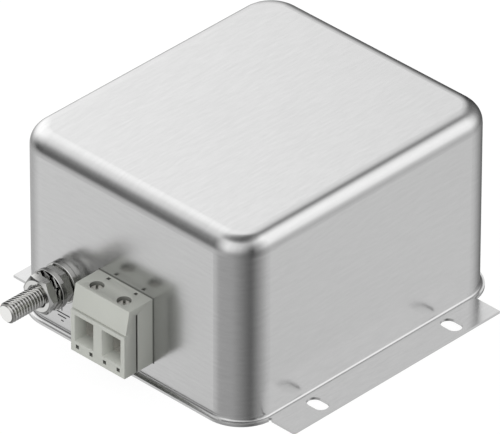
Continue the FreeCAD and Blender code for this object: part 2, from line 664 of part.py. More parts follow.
def make_clamp_nuts(document, side):
    """Cut the two threaded blocks that lie on the contact channels."""
    body = new_body(document, f"{side}_clamp_nuts")
    outline = new_sketch(body, f"{side}ClampNutOutline", "XY_Plane")
    half_depth = "clamp_nut_depth / 2"
    rectangle(outline, "-clamp_nut_width / 2", "clamp_nut_width / 2", f"-{half_depth}", half_depth)
    circle(outline, "0", "0", "clamp_screw_radius + thread_clearance")
    block = pad(body, outline, "clamp_nut_height")
    repeat_along_x(body, [block], "terminal_pitch")
    place_on_side(body, side, "terminal_offset", FIRST_POLE, f"-({WALL} + funnel_reach)", ENTRY_TOP)


def make_clamp_screws(document, side):
    """Turn and slot the two clamp screws, with their heads' tops at the body's origin."""
    body = new_body(document, f"{side}_clamp_screws")
    profile = new_sketch(body, f"{side}ClampScrewProfile", "XZ_Plane")
    tip = f"-(block_top - clamp_screw_drop - {ENTRY_TOP} + clamp_screw_entry)"
    chamfer = "clamp_screw_head_chamfer"
    corners = (
        ("0", "0"),
        ("0", tip),
        (f"clamp_screw_radius - {chamfer}", tip),
        ("clamp_screw_radius", f"{tip} + {chamfer}"),
        ("clamp_screw_radius", "-clamp_screw_head_height"),
        ("clamp_screw_head_radius", "-clamp_screw_head_height"),
        ("clamp_screw_head_radius", f"-{chamfer}"),
        (f"clamp_screw_head_radius - {chamfer}", "0"),
    )
    polygon(profile, corners)
    screw = turn(body, profile)
    slot = new_sketch(body, f"{side}DriverSlot", "XY_Plane")
    half = "clamp_slot_width / 2"
    reach = "clamp_screw_head_radius"
    cosine, sine = "cos(clamp_slot_turn)", "sin(clamp_slot_turn)"
    turned = []
    for across, along in (("-", "-"), ("", "-"), ("", ""), ("-", "")):
        turned.append((
            f"{across}{half} * {cosine} - {along}{reach} * {sine}",
            f"{across}{half} * {sine} + {along}{reach} * {cosine}",
        ))
    polygon(slot, turned)
    cut = pocket(body, slot, "clamp_slot_depth")
    repeat_along_x(body, [screw, cut], "terminal_pitch")
    height = "block_top - clamp_screw_drop"
    place_on_side(body, side, "terminal_offset", FIRST_POLE, f"-({WALL} + funnel_reach)", height)


def place_on_stud(body, side, reach):
    """Slide a piece of the stud's stack to its distance out from the middle of the can."""
    place_on_side(body, side, "(-stud_offset)", "-stud_offset", f"-({reach})", "stud_height", True)


def hexagon(sketch):
    """Draw the hexagon of the nuts and the screw head, with a corner on each side."""
    corner = "hexagon_across_flats / sqrt(3)"
    angles = range(0, 360, 60)
    polygon(sketch, [(f"{corner} * cos({angle} deg)", f"{corner} * sin({angle} deg)") for angle in angles])


def make_earth_stud(document, side):
    """Make the M6 screw, with the underside of its head at the body's origin."""
    body = new_body(document, f"{side}_earth_stud")
    profile = new_sketch(body, f"{side}StudProfile", "XZ_Plane")
    radius = "stud_diameter / 2"
    corners = (
        ("0", "0"),
        (radius, "0"),
        (radius, "stud_length - stud_tip_chamfer"),
        (f"{radius} - stud_tip_chamfer", "stud_length"),
        ("0", "stud_length"),
    )
    polygon(profile, corners)
    turn(body, profile)
    head = new_sketch(body, f"{side}StudHead", "XY_Plane")
    hexagon(head)
    pad(body, head, "stud_head_height", reverse=True)
    place_on_stud(body, side, f"{INNER_WALL} - strap_sheet - inner_washer_thickness")


def make_washer(document, side, name, thickness, reach):
    """Turn a plain washer with chamfered edges."""
    body = new_body(document, f"{side}_{name}")
    profile = new_sketch(body, f"{body.Name}Profile", "XZ_Plane")
    chamfer = "washer_edge_chamfer"
    corners = (
        (STUD_HOLE_RADIUS, "0"),
        (f"washer_radius - {chamfer}", "0"),
        ("washer_radius", chamfer),
        ("washer_radius", f"{thickness} - {chamfer}"),
        (f"washer_radius - {chamfer}", thickness),
        (STUD_HOLE_RADIUS, thickness),
    )
    polygon(profile, corners)
    turn(body, profile)
    place_on_stud(body, side, reach)


def make_nut(document, side, name, reach):
    """Make a thin hexagon nut, chamfered on both faces, inside and out."""
    body = new_body(document, f"{side}_{name}")
    outline = new_sketch(body, f"{body.Name}Outline", "XY_Plane")
    hexagon(outline)
    bore = "(stud_diameter / 2 + thread_clearance)"
    circle(outline, "0", "0", bore)
    pad(body, outline, "nut_thickness")
    chamfers = new_sketch(body, f"{body.Name}Chamfers", "XZ_Plane")
    flat = "nut_face_radius"
    corner = "hexagon_across_flats"
    drop = f"({corner} - {flat}) * tan(nut_chamfer_angle)"
    polygon(chamfers, ((flat, "0"), (corner, "0"), (corner, drop)))
    top = "nut_thickness"
    polygon(chamfers, ((flat, top), (corner, top), (corner, f"{top} - {drop}")))
    sink = "nut_bore_chamfer"
    polygon(chamfers, ((bore, "0"), (f"{bore} + {sink}", "0"), (bore, sink)))
    polygon(chamfers, ((bore, top), (f"{bore} + {sink}", top), (bore, f"{top} - {sink}")))
    groove(body, chamfers)
    place_on_stud(body, side, reach)


def make_toothed_washer(document, side, reach):
    """Stamp the lock washer: a ring with twisted teeth outside."""
    body = new_body(document, f"{side}_toothed_washer")
    ring = new_sketch(body, f"{side}LockRing", "XY_Plane", "(lock_washer_height - lock_washer_sheet) / 2")
    circle(ring, "0", "0", "lock_ring_radius")
    circle(ring, "0", "0", STUD_HOLE_RADIUS)
    pad(body, ring, "lock_washer_sheet")
    root = "(lock_ring_radius - lock_washer_sheet)"
    section = new_sketch(body, f"{side}LockTooth", "YZ_Plane", root)
    twist = "asin((lock_washer_height - lock_washer_sheet) / lock_tooth_width)"
    half_width = f"(lock_tooth_width / 2 * cos({twist}))"
    rise = "((lock_washer_height - lock_washer_sheet) / 2)"
    middle = "lock_washer_height / 2"
    half_sheet = "lock_washer_sheet / 2"
    corners = (
        (f"-{half_width}", f"{middle} + {rise} - {half_sheet}"),
        (half_width, f"{middle} - {rise} - {half_sheet}"),
        (half_width, f"{middle} - {rise} + {half_sheet}"),
        (f"-{half_width}", f"{middle} + {rise} + {half_sheet}"),
    )
    polygon(section, corners)
    tooth = pad(body, section, f"lock_tooth_radius - {root}")
    teeth = body.newObject("PartDesign::PolarPattern", f"{side}LockTeeth")
    teeth.Originals = [tooth]
    teeth.Axis = (origin_feature(body, "Z_Axis"), [""])
    teeth.Angle = 360
    teeth.setExpression("Occurrences", formula("lock_tooth_count"))
    body.Tip = teeth
    document.recompute()
    place_on_stud(body, side, reach)
    turned = FreeCAD.Rotation(FreeCAD.Vector(0, 0, 1), value_of(ring, "lock_washer_turn"))
    placement = body.Placement
    placement.Rotation = placement.Rotation * turned
    body.Placement = placement


def make_earth_strap(document, side):
    """Cut and bend the strip that joins the stud to the board."""
    body = new_body(document, f"{side}_earth_strap")
    eye = new_sketch(body, f"{side}StrapEye", "XZ_Plane", INNER_WALL)
    circle(eye, "-stud_offset", "stud_height", "washer_radius")
    pad(body, eye, "strap_sheet", reverse=True)
    profile = new_sketch(body, f"{side}StrapProfile", "YZ_Plane", "-stud_offset")
    foot_end = f"-({BOARD_HALF_DEPTH} - strap_foot_length)"
    corners = (
        (f"-{INNER_WALL}", "stud_height"),
        (f"-{INNER_WALL}", BOARD_TOP),
        (foot_end, BOARD_TOP),
        (foot_end, f"{BOARD_TOP} + strap_sheet"),
        (f"-({INNER_WALL} - strap_sheet)", f"{BOARD_TOP} + strap_sheet"),
        (f"-({INNER_WALL} - strap_sheet)", "stud_height"),
    )
    polygon(profile, corners)
    pad(body, profile, "strap_width", "Symmetric")
    hole = new_sketch(body, f"{side}StrapHole", "XZ_Plane", INNER_WALL)
    circle(hole, "-stud_offset", "stud_height", STUD_HOLE_RADIUS)
    pocket(body, hole, "strap_sheet")
    place_on_side(body, side, "(-stud_offset)")


def make_capacitor(document, side, name, across, rows, case, pitch):
    """Mould box capacitors: a case with rounded edges on two pins, one for each row."""
    width, depth, height = case
    body = new_body(document, f"{side}_{name}")
    cases = new_sketch(body, f"{body.Name}Cases", "XY_Plane", BOARD_TOP)
    left, right = f"{across} - {width} / 2", f"{across} + {width} / 2"
    for along in rows:
        rectangle(cases, left, right, f"{along} - {depth} / 2", f"{along} + {depth} / 2")
    pad(body, cases, height)
    not_at_the_board = edge_above(value_of(cases, BOARD_TOP))
    round_edges(body, f"{body.Name}Edges", "capacitor_edge_radius", not_at_the_board)
    pins = new_sketch(body, f"{body.Name}Pins", "XY_Plane", BOARD_TOP)
    for along in rows:
        for end in ("-", "+"):
            circle(pins, f"{across} {end} {pitch} / 2", along, "pin_radius")
    pad(body, pins, f"{BOARD_TOP} - {PIN_TIP}", reverse=True)
    place_on_side(body, side, across)


def make_bleed_resistor(document):
    """Make the resistor that lies across the line side, on bent pins."""
    body = new_body(document, "bleed_resistor")
    wire = new_sketch(body, "ResistorWire", "XZ_Plane", CAPACITOR_ROW)
    circle(wire, "resistor_offset", RESISTOR_AXIS, "pin_radius")
    pad(body, wire, "resistor_pitch", "Symmetric")
    case = new_sketch(body, "ResistorCase", "XZ_Plane", CAPACITOR_ROW)
    circle(case, "resistor_offset", RESISTOR_AXIS, "resistor_radius")
    pad(body, case, "resistor_length", "Symmetric")
    pins = new_sketch(body, "ResistorPins", "XY_Plane", RESISTOR_AXIS)
    for end in ("-", "+"):
        circle(pins, "resistor_offset", f"-{CAPACITOR_ROW} {end} resistor_pitch / 2", "pin_radius")
    pad(body, pins, f"{RESISTOR_AXIS} - {PIN_TIP}", reverse=True)


def make_choke_base(document):
    """Mould the round carrier under the choke."""
    body = new_body(document, "choke_base")
    outline = new_sketch(body, "ChokeBaseOutline", "XY_Plane", BOARD_TOP)
    circle(outline, "0", "0", f"{CORE_OUTSIDE} - choke_base_setback")
    pad(body, outline, "choke_base_thickness")


def make_choke_core(document):
    """Turn the coated toroid of the common-mode choke."""
    body = new_body(document, "choke_core")
    section = new_sketch(body, "CoreSection", "XZ_Plane")
    low = f"({CHOKE_SEAT} + {WINDING_WALL})"
    edge = "core_edge_radius"
    inner = f"{CORE_BORE} + {edge}"
    outer = f"{CORE_OUTSIDE} - {edge}"
    bottom = f"{low} + {edge}"
    top = f"{low} + core_height - {edge}"
    rounded_outline(section, ((inner, bottom), (outer, bottom), (outer, top), (inner, top)), edge)
    turn(body, section)


def make_choke_separator(document):
    """Cut the wall that parts the two windings in the bore of the toroid."""
    body = new_body(document, "choke_separator")
    outline = new_sketch(body, "SeparatorOutline", "YZ_Plane")
    reach = f"({CORE_BORE} - separator_clearance)"
    top = f"{CHOKE_SEAT} + 2 * {WINDING_WALL} + core_height"
    rectangle(outline, f"-{reach}", reach, CHOKE_SEAT, top)
    pad(body, outline, "separator_thickness", "Symmetric")


def make_choke_winding(document, hand):
    """Wind one half of the choke: the outer shape of its turns, and its two wire ends."""
    body = new_body(document, f"choke_winding_{hand}")
    section = new_sketch(body, f"{hand}WindingSection", "XZ_Plane")
    edge = "winding_edge_radius"
    inner = f"{CORE_BORE} - {WINDING_WALL} + {edge}"
    outer = f"{CORE_OUTSIDE} + {WINDING_WALL} - {edge}"
    top = f"{CHOKE_SEAT} + 2 * {WINDING_WALL} + core_height"
    low = f"{CHOKE_SEAT} + {edge}"
    high = f"{top} - {edge}"
    rounded_outline(section, ((inner, low), (outer, low), (outer, high), (inner, high)), edge)
    gap = "winding_clearance"
    left = f"{CORE_BORE} - {gap}"
    right = f"{CORE_OUTSIDE} + {gap}"
    rectangle(section, left, right, f"{CHOKE_SEAT} + wire_diameter", f"{top} - wire_diameter")
    turn(body, section, "winding_angle", symmetric=True)
    ends = new_sketch(body, f"{hand}WindingEnds", "XY_Plane", f"{CHOKE_SEAT} + wire_diameter")
    for across, along in winding_pin_places()[:2]:
        circle(ends, across, along, "wire_diameter / 2")
    pad(body, ends, f"{CHOKE_SEAT} + wire_diameter - {PIN_TIP}", reverse=True)
    if hand == "left":
        half_turn = FreeCAD.Rotation(FreeCAD.Vector(0, 0, 1), 180)
        body.Placement = FreeCAD.Placement(FreeCAD.Vector(0, 0, 0), half_turn)


def make_side(document, side):
    """Make the pieces of one terminal wall, and that side's capacitors."""
    make_terminal_housing(document, side)
    make_contact_bars(document, side)
    make_clamp_nuts(document, side)
    make_clamp_screws(document, side)
    make_earth_strap(document, side)
    make_earth_stud(document, side)
    inner_seat = f"{INNER_WALL} - strap_sheet - inner_washer_thickness"
    make_washer(document, side, "inner_washer", "inner_washer_thickness", inner_seat)
    make_washer(document, side, "wall_washer", "washer_thickness", WALL)
    reach = f"{WALL} + washer_thickness"
    make_nut(document, side, "inner_nut", reach)
    reach += " + nut_thickness"
    make_washer(document, side, "flat_washer", "washer_thickness", reach)
    reach += " + washer_thickness"
    make_toothed_washer(document, side, reach)
    reach += " + lock_washer_height"
    make_nut(document, side, "outer_nut", reach)
    row = f"-{CAPACITOR_ROW}"
    case = ("x_capacitor_width", "x_capacitor_depth", "x_capacitor_height")
    make_capacitor(document, side, "x_capacitor", "x_capacitor_offset", [row], case, "x_capacitor_pitch")
    rows = [f"({row} {sign} y_capacitor_spacing / 2)" for sign in ("-", "+")]
    case = ("y_capacitor_width", "y_capacitor_depth", "y_capacitor_height")
    make_capacitor(document, side, "y_capacitors", "y_capacitor_offset", rows, case, "y_capacitor_pitch")


def check(document):
    """Stop where an object has failed or a piece has no sound solid."""
    for item in document.Objects:
        if {"Invalid", "Error"} & set(item.State):
            raise RuntimeError(f"{item.Label} is {item.State}")
    for body in document.findObjects("PartDesign::Body"):
        if body.Shape.isNull() or not body.Shape.isValid() or not body.Shape.Solids:
            raise RuntimeError(f"{body.Label} has no sound solid")


def main():
    """Build the filter and write one STEP file for each piece."""
    document = FreeCAD.newDocument("EmiLineFilter")
    make_sheet(document)
    make_can(document)
    make_base_cover(document)
    make_insulating_sheet(document)
    make_board_spacers(document)
    make_circuit_board(document)
    make_choke_base(document)
    make_choke_core(document)
    make_choke_separator(document)
    make_choke_winding(document, "left")
    make_choke_winding(document, "right")
    make_bleed_resistor(document)
    for side in SIDES:
        make_side(document, side)
    document.recompute()
    check(document)
    os.makedirs("parts", exist_ok=True)
    for body in document.findObjects("PartDesign::Body"):
        body.Shape.exportStep(f"parts/{body.Label}.step")
        print(f"{body.Label}: {len(body.Shape.Solids)} solids, {body.Shape.Volume:.1f} mm3")


main()
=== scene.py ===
# %% [markdown]
# # EMI line filter
# A mains filter for a chassis: a drawn steel can with slotted ears, and at each end a screw terminal
# block and an M6 earth stud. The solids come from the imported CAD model, which is loaded first and
# never changed. This lesson dresses them: most nodes only get a finish, and six are remade here with
# the small forms that make steel, nickel and plastic look real. Sizes on the object are written in
# millimetres, and MM turns them to the metres that Blender works in.

# %% Load the frame
import json
import math

import bpy
from mathutils import Matrix, Vector


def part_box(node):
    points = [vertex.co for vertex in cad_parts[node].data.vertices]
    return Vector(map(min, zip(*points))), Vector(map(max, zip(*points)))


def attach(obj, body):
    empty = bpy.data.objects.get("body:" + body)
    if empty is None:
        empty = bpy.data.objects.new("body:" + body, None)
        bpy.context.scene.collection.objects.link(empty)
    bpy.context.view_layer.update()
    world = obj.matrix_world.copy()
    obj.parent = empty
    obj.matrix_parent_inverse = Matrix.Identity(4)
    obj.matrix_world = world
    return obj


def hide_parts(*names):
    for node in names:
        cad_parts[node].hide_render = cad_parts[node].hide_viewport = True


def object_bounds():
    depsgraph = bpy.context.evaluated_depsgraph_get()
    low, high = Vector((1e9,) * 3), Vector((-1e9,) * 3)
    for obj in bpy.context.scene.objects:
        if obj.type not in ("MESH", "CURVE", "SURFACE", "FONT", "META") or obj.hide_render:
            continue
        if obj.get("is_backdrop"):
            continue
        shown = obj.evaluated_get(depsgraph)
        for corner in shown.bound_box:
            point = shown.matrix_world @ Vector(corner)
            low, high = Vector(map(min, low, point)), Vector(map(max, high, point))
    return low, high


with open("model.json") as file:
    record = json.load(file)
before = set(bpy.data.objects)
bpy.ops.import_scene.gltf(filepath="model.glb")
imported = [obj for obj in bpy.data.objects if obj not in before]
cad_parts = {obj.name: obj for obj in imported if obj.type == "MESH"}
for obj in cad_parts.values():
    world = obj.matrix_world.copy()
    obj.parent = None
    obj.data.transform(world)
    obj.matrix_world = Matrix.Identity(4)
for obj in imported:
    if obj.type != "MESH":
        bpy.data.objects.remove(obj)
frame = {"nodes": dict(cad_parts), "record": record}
nodes = frame["nodes"]
scene = bpy.context.scene
cad_box = [list(corner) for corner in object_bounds()]
MM = 0.001


def in_mm(place):
    """Give a place in millimetres, to the nearest micron."""
    return [round(value / MM, 3) for value in place]


def box_in_mm(name):
    """Give the lowest corner, the highest corner and the middle of a CAD node, in millimetres."""
    low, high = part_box(name)
    return in_mm(low), in_mm(high), in_mm((a + b) / 2 for a, b in zip(low, high))


print("CAD nodes:", len(nodes))
print("CAD box in mm:", [in_mm(corner) for corner in cad_box])

# %% [markdown]
# ## Small helpers
# Colours are written as sRGB hex values, as a colour picker shows them, and one function turns them
# to the linear numbers that Blender's shaders work with. A second function adds any shader node with
# its settings and links, so that a material reads from top to bottom. Most finishes here let one
# pattern lead the colour, the roughness and the relief, because on a real surface one cause, such as
# a grain or a line, changes all three.

# %% Colours and nodes
# A Mix node has several sockets of one name, so these are known by their numbers.
NUMBER_A, NUMBER_B = 2, 3
COLOUR_A, COLOUR_B, COLOUR_RESULT = 6, 7, 2


def linear(hex_colour):
    """Turn an sRGB hex colour into linear red, green, blue and alpha."""
    channels = [int(hex_colour[place:place + 2], 16) / 255 for place in (1, 3, 5)]
    return [c / 12.92 if c <= 0.04045 else ((c + 0.055) / 1.055) ** 2.4 for c in channels] + [1.0]


def add_node(tree, kind, settings=None, links=None):
    """Add a node. Settings are the node's attributes or its sockets' values, links feed its sockets."""
    node = tree.nodes.new(kind)
    for name, value in (settings or {}).items():
        if isinstance(name, str) and hasattr(node, name):
            setattr(node, name, value)
        else:
            node.inputs[name].default_value = value
    for name, socket in (links or {}).items():
        tree.links.new(socket, node.inputs[name])
    return node


def new_material(name, **sockets):
    """Make a material and set its shader's own sockets."""
    material = bpy.data.materials.new(name)
    material.use_nodes = True
    shader = material.node_tree.nodes["Principled BSDF"]
    for socket, value in sockets.items():
        shader.inputs[socket.replace("_", " ")].default_value = value
    return material, material.node_tree, shader


def finish_surface(tree, shader, pattern, colours, roughness, bump):
    """Let a pattern from 0 to 1 lead colour, roughness and bump, given as strength and depth in mm."""
    colour = add_node(tree, "ShaderNodeMix", {
        "data_type": "RGBA", COLOUR_A: linear(colours[0]), COLOUR_B: linear(colours[1])}, {0: pattern})
    tree.links.new(colour.outputs[COLOUR_RESULT], shader.inputs["Base Color"])
    sheen = add_node(tree, "ShaderNodeMapRange", {"To Min": roughness[0], "To Max": roughness[1]}, {
        "Value": pattern})
    tree.links.new(sheen.outputs[0], shader.inputs["Roughness"])
    relief = add_node(tree, "ShaderNodeBump", {"Strength": bump[0], "Distance": bump[1] * MM}, {
        "Height": pattern})
    tree.links.new(relief.outputs[0], shader.inputs["Normal"])


print("white is", linear("#FFFFFF")[:3])
print("middle grey is", [round(channel, 3) for channel in linear("#BBBBBB")[:3]])

# %% [markdown]
# ## The camera
# The photograph was taken from far away with a long lens, so parallel edges stay almost parallel. The
# camera's direction, distance and lens come from a fit to the object's corners, and only these few
# numbers are kept. The distance and the two clipping planes are in metres.

# %% Camera
AZIMUTH, ELEVATION, ROLL = math.radians(44.198), math.radians(34.352), math.radians(0.11)
DISTANCE, LENS = 2.68717, 720
AIM_RIGHT, AIM_UP = -1.698, 21.04
NEAREST, FARTHEST = 0.1, 20

back = Vector((
    math.sin(AZIMUTH) * math.cos(ELEVATION),
    -math.cos(AZIMUTH) * math.cos(ELEVATION),
    math.sin(ELEVATION),
))
right = Vector((math.cos(AZIMUTH), math.sin(AZIMUTH), 0))
up = back.cross(right)
look_at = right * AIM_RIGHT * MM + up * AIM_UP * MM

lens = bpy.data.cameras.new("camera")
lens.lens = LENS
lens.clip_start, lens.clip_end = NEAREST, FARTHEST
camera = bpy.data.objects.new("camera", lens)
camera.location = back * DISTANCE
camera.rotation_mode = "QUATERNION"
level = (look_at - camera.location).to_track_quat("-Z", "Y")
camera.rotation_quaternion = level @ Matrix.Rotation(ROLL, 3, "Z").to_quaternion()
scene.collection.objects.link(camera)
scene.camera = camera
print("camera at", [round(value, 3) for value in camera.location])

# %% [markdown]
# ## Floor and backdrop
# The floor is plain white paper. To the camera it gives a little of its own light, so that it comes
# out white and still keeps the object's soft shadow. Metal doesn't see the floor's edge: glossy rays
# go on to the light tent of the next step. The stage round the object is measured in metres.

# %% Floor
FLOOR_SIZE = 1.6
FLOOR_DROP = 0.05 * MM
ROOM_LEVEL, WHITE_LEVEL = 0.8, 1.0
PAPER_GLOW = 0.92
scene.view_settings.view_transform = "Standard"


def seen_directly(tree):
    """Give 1 for camera, glossy and transmission rays and 0 for the rest."""
    rays = add_node(tree, "ShaderNodeLightPath")
    either = add_node(tree, "ShaderNodeMath", {"operation": "MAXIMUM"}, {
        0: rays.outputs["Is Camera Ray"], 1: rays.outputs["Is Glossy Ray"]})
    any_of = add_node(tree, "ShaderNodeMath", {"operation": "MAXIMUM"}, {
        0: either.outputs[0], 1: rays.outputs["Is Transmission Ray"]})
    return any_of.outputs[0]


world = bpy.data.worlds.new("studio")
world.use_nodes = True
scene.world = world
tree = world.node_tree
tree.nodes.clear()
room = add_node(tree, "ShaderNodeBackground", {"Color": linear("#FFFFFF"), "Strength": ROOM_LEVEL})
white = add_node(tree, "ShaderNodeBackground", {"Color": linear("#FFFFFF"), "Strength": WHITE_LEVEL})
mixed = add_node(tree, "ShaderNodeMixShader", {}, {
    0: seen_directly(tree), 1: room.outputs[0], 2: white.outputs[0]})
add_node(tree, "ShaderNodeOutputWorld", {}, {"Surface": mixed.outputs[0]})

bpy.ops.object.select_all(action="DESELECT")
bpy.ops.mesh.primitive_plane_add(size=FLOOR_SIZE, location=(0, 0, -FLOOR_DROP))
floor = bpy.context.object
floor.name = "floor"
material, tree, shader = new_material("white_paper")
tree.nodes.remove(shader)
# Light that bounces on to the object comes off pale grey paper. The camera sees the glow, and on it a
# thin coat of grey whose one task is to carry the shadow.
paper = add_node(tree, "ShaderNodeBsdfDiffuse", {"Color": linear("#D4D4D4")})
shadow = add_node(tree, "ShaderNodeBsdfDiffuse", {"Color": linear("#6F6F6F")})
glow = add_node(tree, "ShaderNodeEmission", {"Color": linear("#FFFFFF"), "Strength": PAPER_GLOW})
lit = add_node(tree, "ShaderNodeAddShader", {}, {0: shadow.outputs[0], 1: glow.outputs[0]})
mixed = add_node(tree, "ShaderNodeMixShader", {}, {
    0: seen_directly(tree), 1: paper.outputs[0], 2: lit.outputs[0]})
tree.links.new(mixed.outputs[0], tree.nodes["Material Output"].inputs["Surface"])
floor.data.materials.append(material)
floor.visible_glossy = False
floor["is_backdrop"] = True
print("the floor is", FLOOR_SIZE, "m wide")

# %% [markdown]
# ## Light tent
# Bright metal shows the room more than itself. Product photographers hang a white tent round such
# an object, with darker gaps in it, so that each bend shows a soft band from light to dark. One big
# ball does the same here. Its paint is written as rings: at each height above or below the horizon, a
# colour ramp runs round the compass, from -180 to 180 degrees, and the rings blend into each other.
# The camera doesn't see the ball.

# %% Light tent
TENT_RADIUS = 1.2
TENT_MIDDLE = 30 * MM
TENT_RINGS = (
    # height in degrees, then (compass angle, brightness) round the ring
    (-60, ((-180, 0.35),)),
    (-33, ((-180, 0.7), (-137, 1.25), (-110, 0.6), (-70, 0.6), (-20, 0.15), (45, 1.15), (100, 0.25),
           (118, 0.15), (143, 0.4), (158, 0.7))),
    (-14, ((-180, 0.45), (-150, 0.6), (-128, 0.8), (-85, 0.65), (-17, 0.1), (38, 0.85), (85, 0.2),
           (122, 0.03), (134, 0.4), (152, 0.7))),
    (0, ((-180, 1.15), (-150, 0.08), (-125, 0.15), (-85, 0.9), (-17, 0.07), (36, 1.05), (61, 0.8),
         (85, 0.35), (119, 0.03), (133, 0.55), (148, 1.65), (169, 1.55))),
    (12, ((-180, 1.8), (-150, 0.25), (-126, 0.12), (-85, 1.4), (-44, 0.65), (-17, 0.03), (37, 1.7),
          (60, 1.35), (88, 0.35), (117, 0.09), (134, 0.95), (155, 2.0))),
    (28, ((-180, 2.05), (-155, 1.15), (-130, 0.25), (-88, 1.65), (-44, 0.95), (-15, 0.2), (42, 1.9),
          (66, 1.3), (92, 0.3), (108, 0.2), (125, 1.2), (152, 1.95))),
    (50, ((-180, 1.75), (-130, 1.05), (-90, 1.55), (-44, 1.05), (-8, 0.8), (30, 1.8), (50, 1.8),
          (83, 0.25), (110, 1.2), (150, 1.75))),
    (66, ((-180, 1.3), (-130, 0.4), (-44, 0.3), (50, 0.4), (80, 0.3), (121, 1.55), (150, 1.6))),
    (78, ((-180, 0.55), (-60, 0.1), (80, 0.2), (130, 0.45))),
    (90, ((-180, 0.25),)),
)
# A brightness of 2 is the white of a colour ramp. The light of that white is given twice: as metal
# mirrors it, and as it falls on plastic.
RAMP_WHITE = 2
TENT_FOR_METAL, TENT_FOR_PLASTIC = 1.61, 1.42


def tent_paint():
    """Paint the tent's inside with rings of brightness that blend from one height to the next."""
    material, tree, shader = new_material("tent_paint")
    tree.nodes.remove(shader)
    place = add_node(tree, "ShaderNodeTexCoord").outputs["Object"]
    parts = add_node(tree, "ShaderNodeSeparateXYZ", {}, {0: place})
    turn = add_node(tree, "ShaderNodeMath", {"operation": "ARCTAN2"}, {
        0: parts.outputs["Y"], 1: parts.outputs["X"]})
    compass = add_node(tree, "ShaderNodeMapRange", {"From Min": -math.pi, "From Max": math.pi}, {
        "Value": turn.outputs[0]})
    slope = add_node(tree, "ShaderNodeMath", {"operation": "DIVIDE", 1: TENT_RADIUS}, {
        0: parts.outputs["Z"]})
    height = add_node(tree, "ShaderNodeMath", {"operation": "ARCSINE"}, {0: slope.outputs[0]})
    paint = None
    for number, (ring_height, stops) in enumerate(TENT_RINGS):
        ring = add_node(tree, "ShaderNodeValToRGB", {}, {0: compass.outputs[0]})
        ramp = ring.color_ramp
        stops = stops + ((180, stops[0][1]),)
        while len(ramp.elements) < len(stops):
            ramp.elements.new(0.5)
        for element, (angle, brightness) in zip(ramp.elements, stops):
            element.position = (angle + 180) / 360
            element.color = [brightness / RAMP_WHITE] * 3 + [1]
        if paint is None:
            paint = ring.outputs[0]
            continue
        lower_height = TENT_RINGS[number - 1][0]
        blend = add_node(tree, "ShaderNodeMapRange", {
            "From Min": math.radians(lower_height), "From Max": math.radians(ring_height)}, {
            "Value": height.outputs[0]})
        mixed = add_node(tree, "ShaderNodeMix", {"data_type": "RGBA"}, {
            0: blend.outputs[0], COLOUR_A: paint, COLOUR_B: ring.outputs[0]})
        paint = mixed.outputs[COLOUR_RESULT]
    rays = add_node(tree, "ShaderNodeLightPath")
    level = add_node(tree, "ShaderNodeMapRange", {"To Min": TENT_FOR_METAL, "To Max": TENT_FOR_PLASTIC}, {
        "Value": rays.outputs["Is Diffuse Ray"]})
    glow = add_node(tree, "ShaderNodeEmission", {}, {"Color": paint, "Strength": level.outputs[0]})
    tree.links.new(glow.outputs[0], tree.nodes["Material Output"].inputs["Surface"])
    material.cycles.emission_sampling = "NONE"
    return material


bpy.ops.object.select_all(action="DESELECT")
bpy.ops.mesh.primitive_uv_sphere_add(
    segments=96, ring_count=48, radius=TENT_RADIUS, location=(0, 0, TENT_MIDDLE))
tent = bpy.context.object
tent.name = "light_tent"
tent.data.materials.append(tent_paint())
tent.visible_camera = False
tent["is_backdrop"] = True
print("the tent has", len(TENT_RINGS), "rings of paint")

# %% [markdown]
# ## Soft lamps
# The tent alone would leave the plastic flat and its openings black. Square lamps with soft shadows
# shade it: one low in front, one higher to the front right, and one behind. Metal doesn't show them,
# because its bright bands are already painted on the tent. A lamp's level is how bright a white card
# facing it would come out.

# %% Soft lamps
LAMP_DISTANCE = 1.0
LAMPS = (
    # name, compass angle and height in degrees, size in metres, level
    ("front", -85, 9, 0.3, 0.24),
    ("front_right", -64, 31, 0.4, 0.1),
    ("behind", 116, 8, 0.5, 0.25),
)
for name, turn, height, size, level in LAMPS:
    light = bpy.data.lights.new(name, "AREA")
    light.size = size
    light.energy = level * (math.pi * LAMP_DISTANCE) ** 2
    lamp = bpy.data.objects.new(name, light)
    turn, height = math.radians(turn), math.radians(height)
    lamp.location = LAMP_DISTANCE * Vector((
        math.cos(turn) * math.cos(height), math.sin(turn) * math.cos(height), math.sin(height)))
    lamp.rotation_euler = (-lamp.location).to_track_quat("-Z", "Y").to_euler()
    lamp.visible_glossy = False
    lamp.visible_camera = False
    scene.collection.objects.link(lamp)
print("lamps:", [lamp[0] for lamp in LAMPS])

# %% [markdown]
# ## Drawn steel
# The can is drawn from bright tin-plated sheet. Rolling leaves very fine lines in one direction, so
# its mirror image is soft, a little more across the lines than along them. The real lines are some
# hundredths of a millimetre apart and can't show, so they are drawn 0.8 mm apart, each about 5 mm
# long, and faint.

# %% Drawn steel
LINE_LENGTH, LINE_PITCH = 5, 0.8


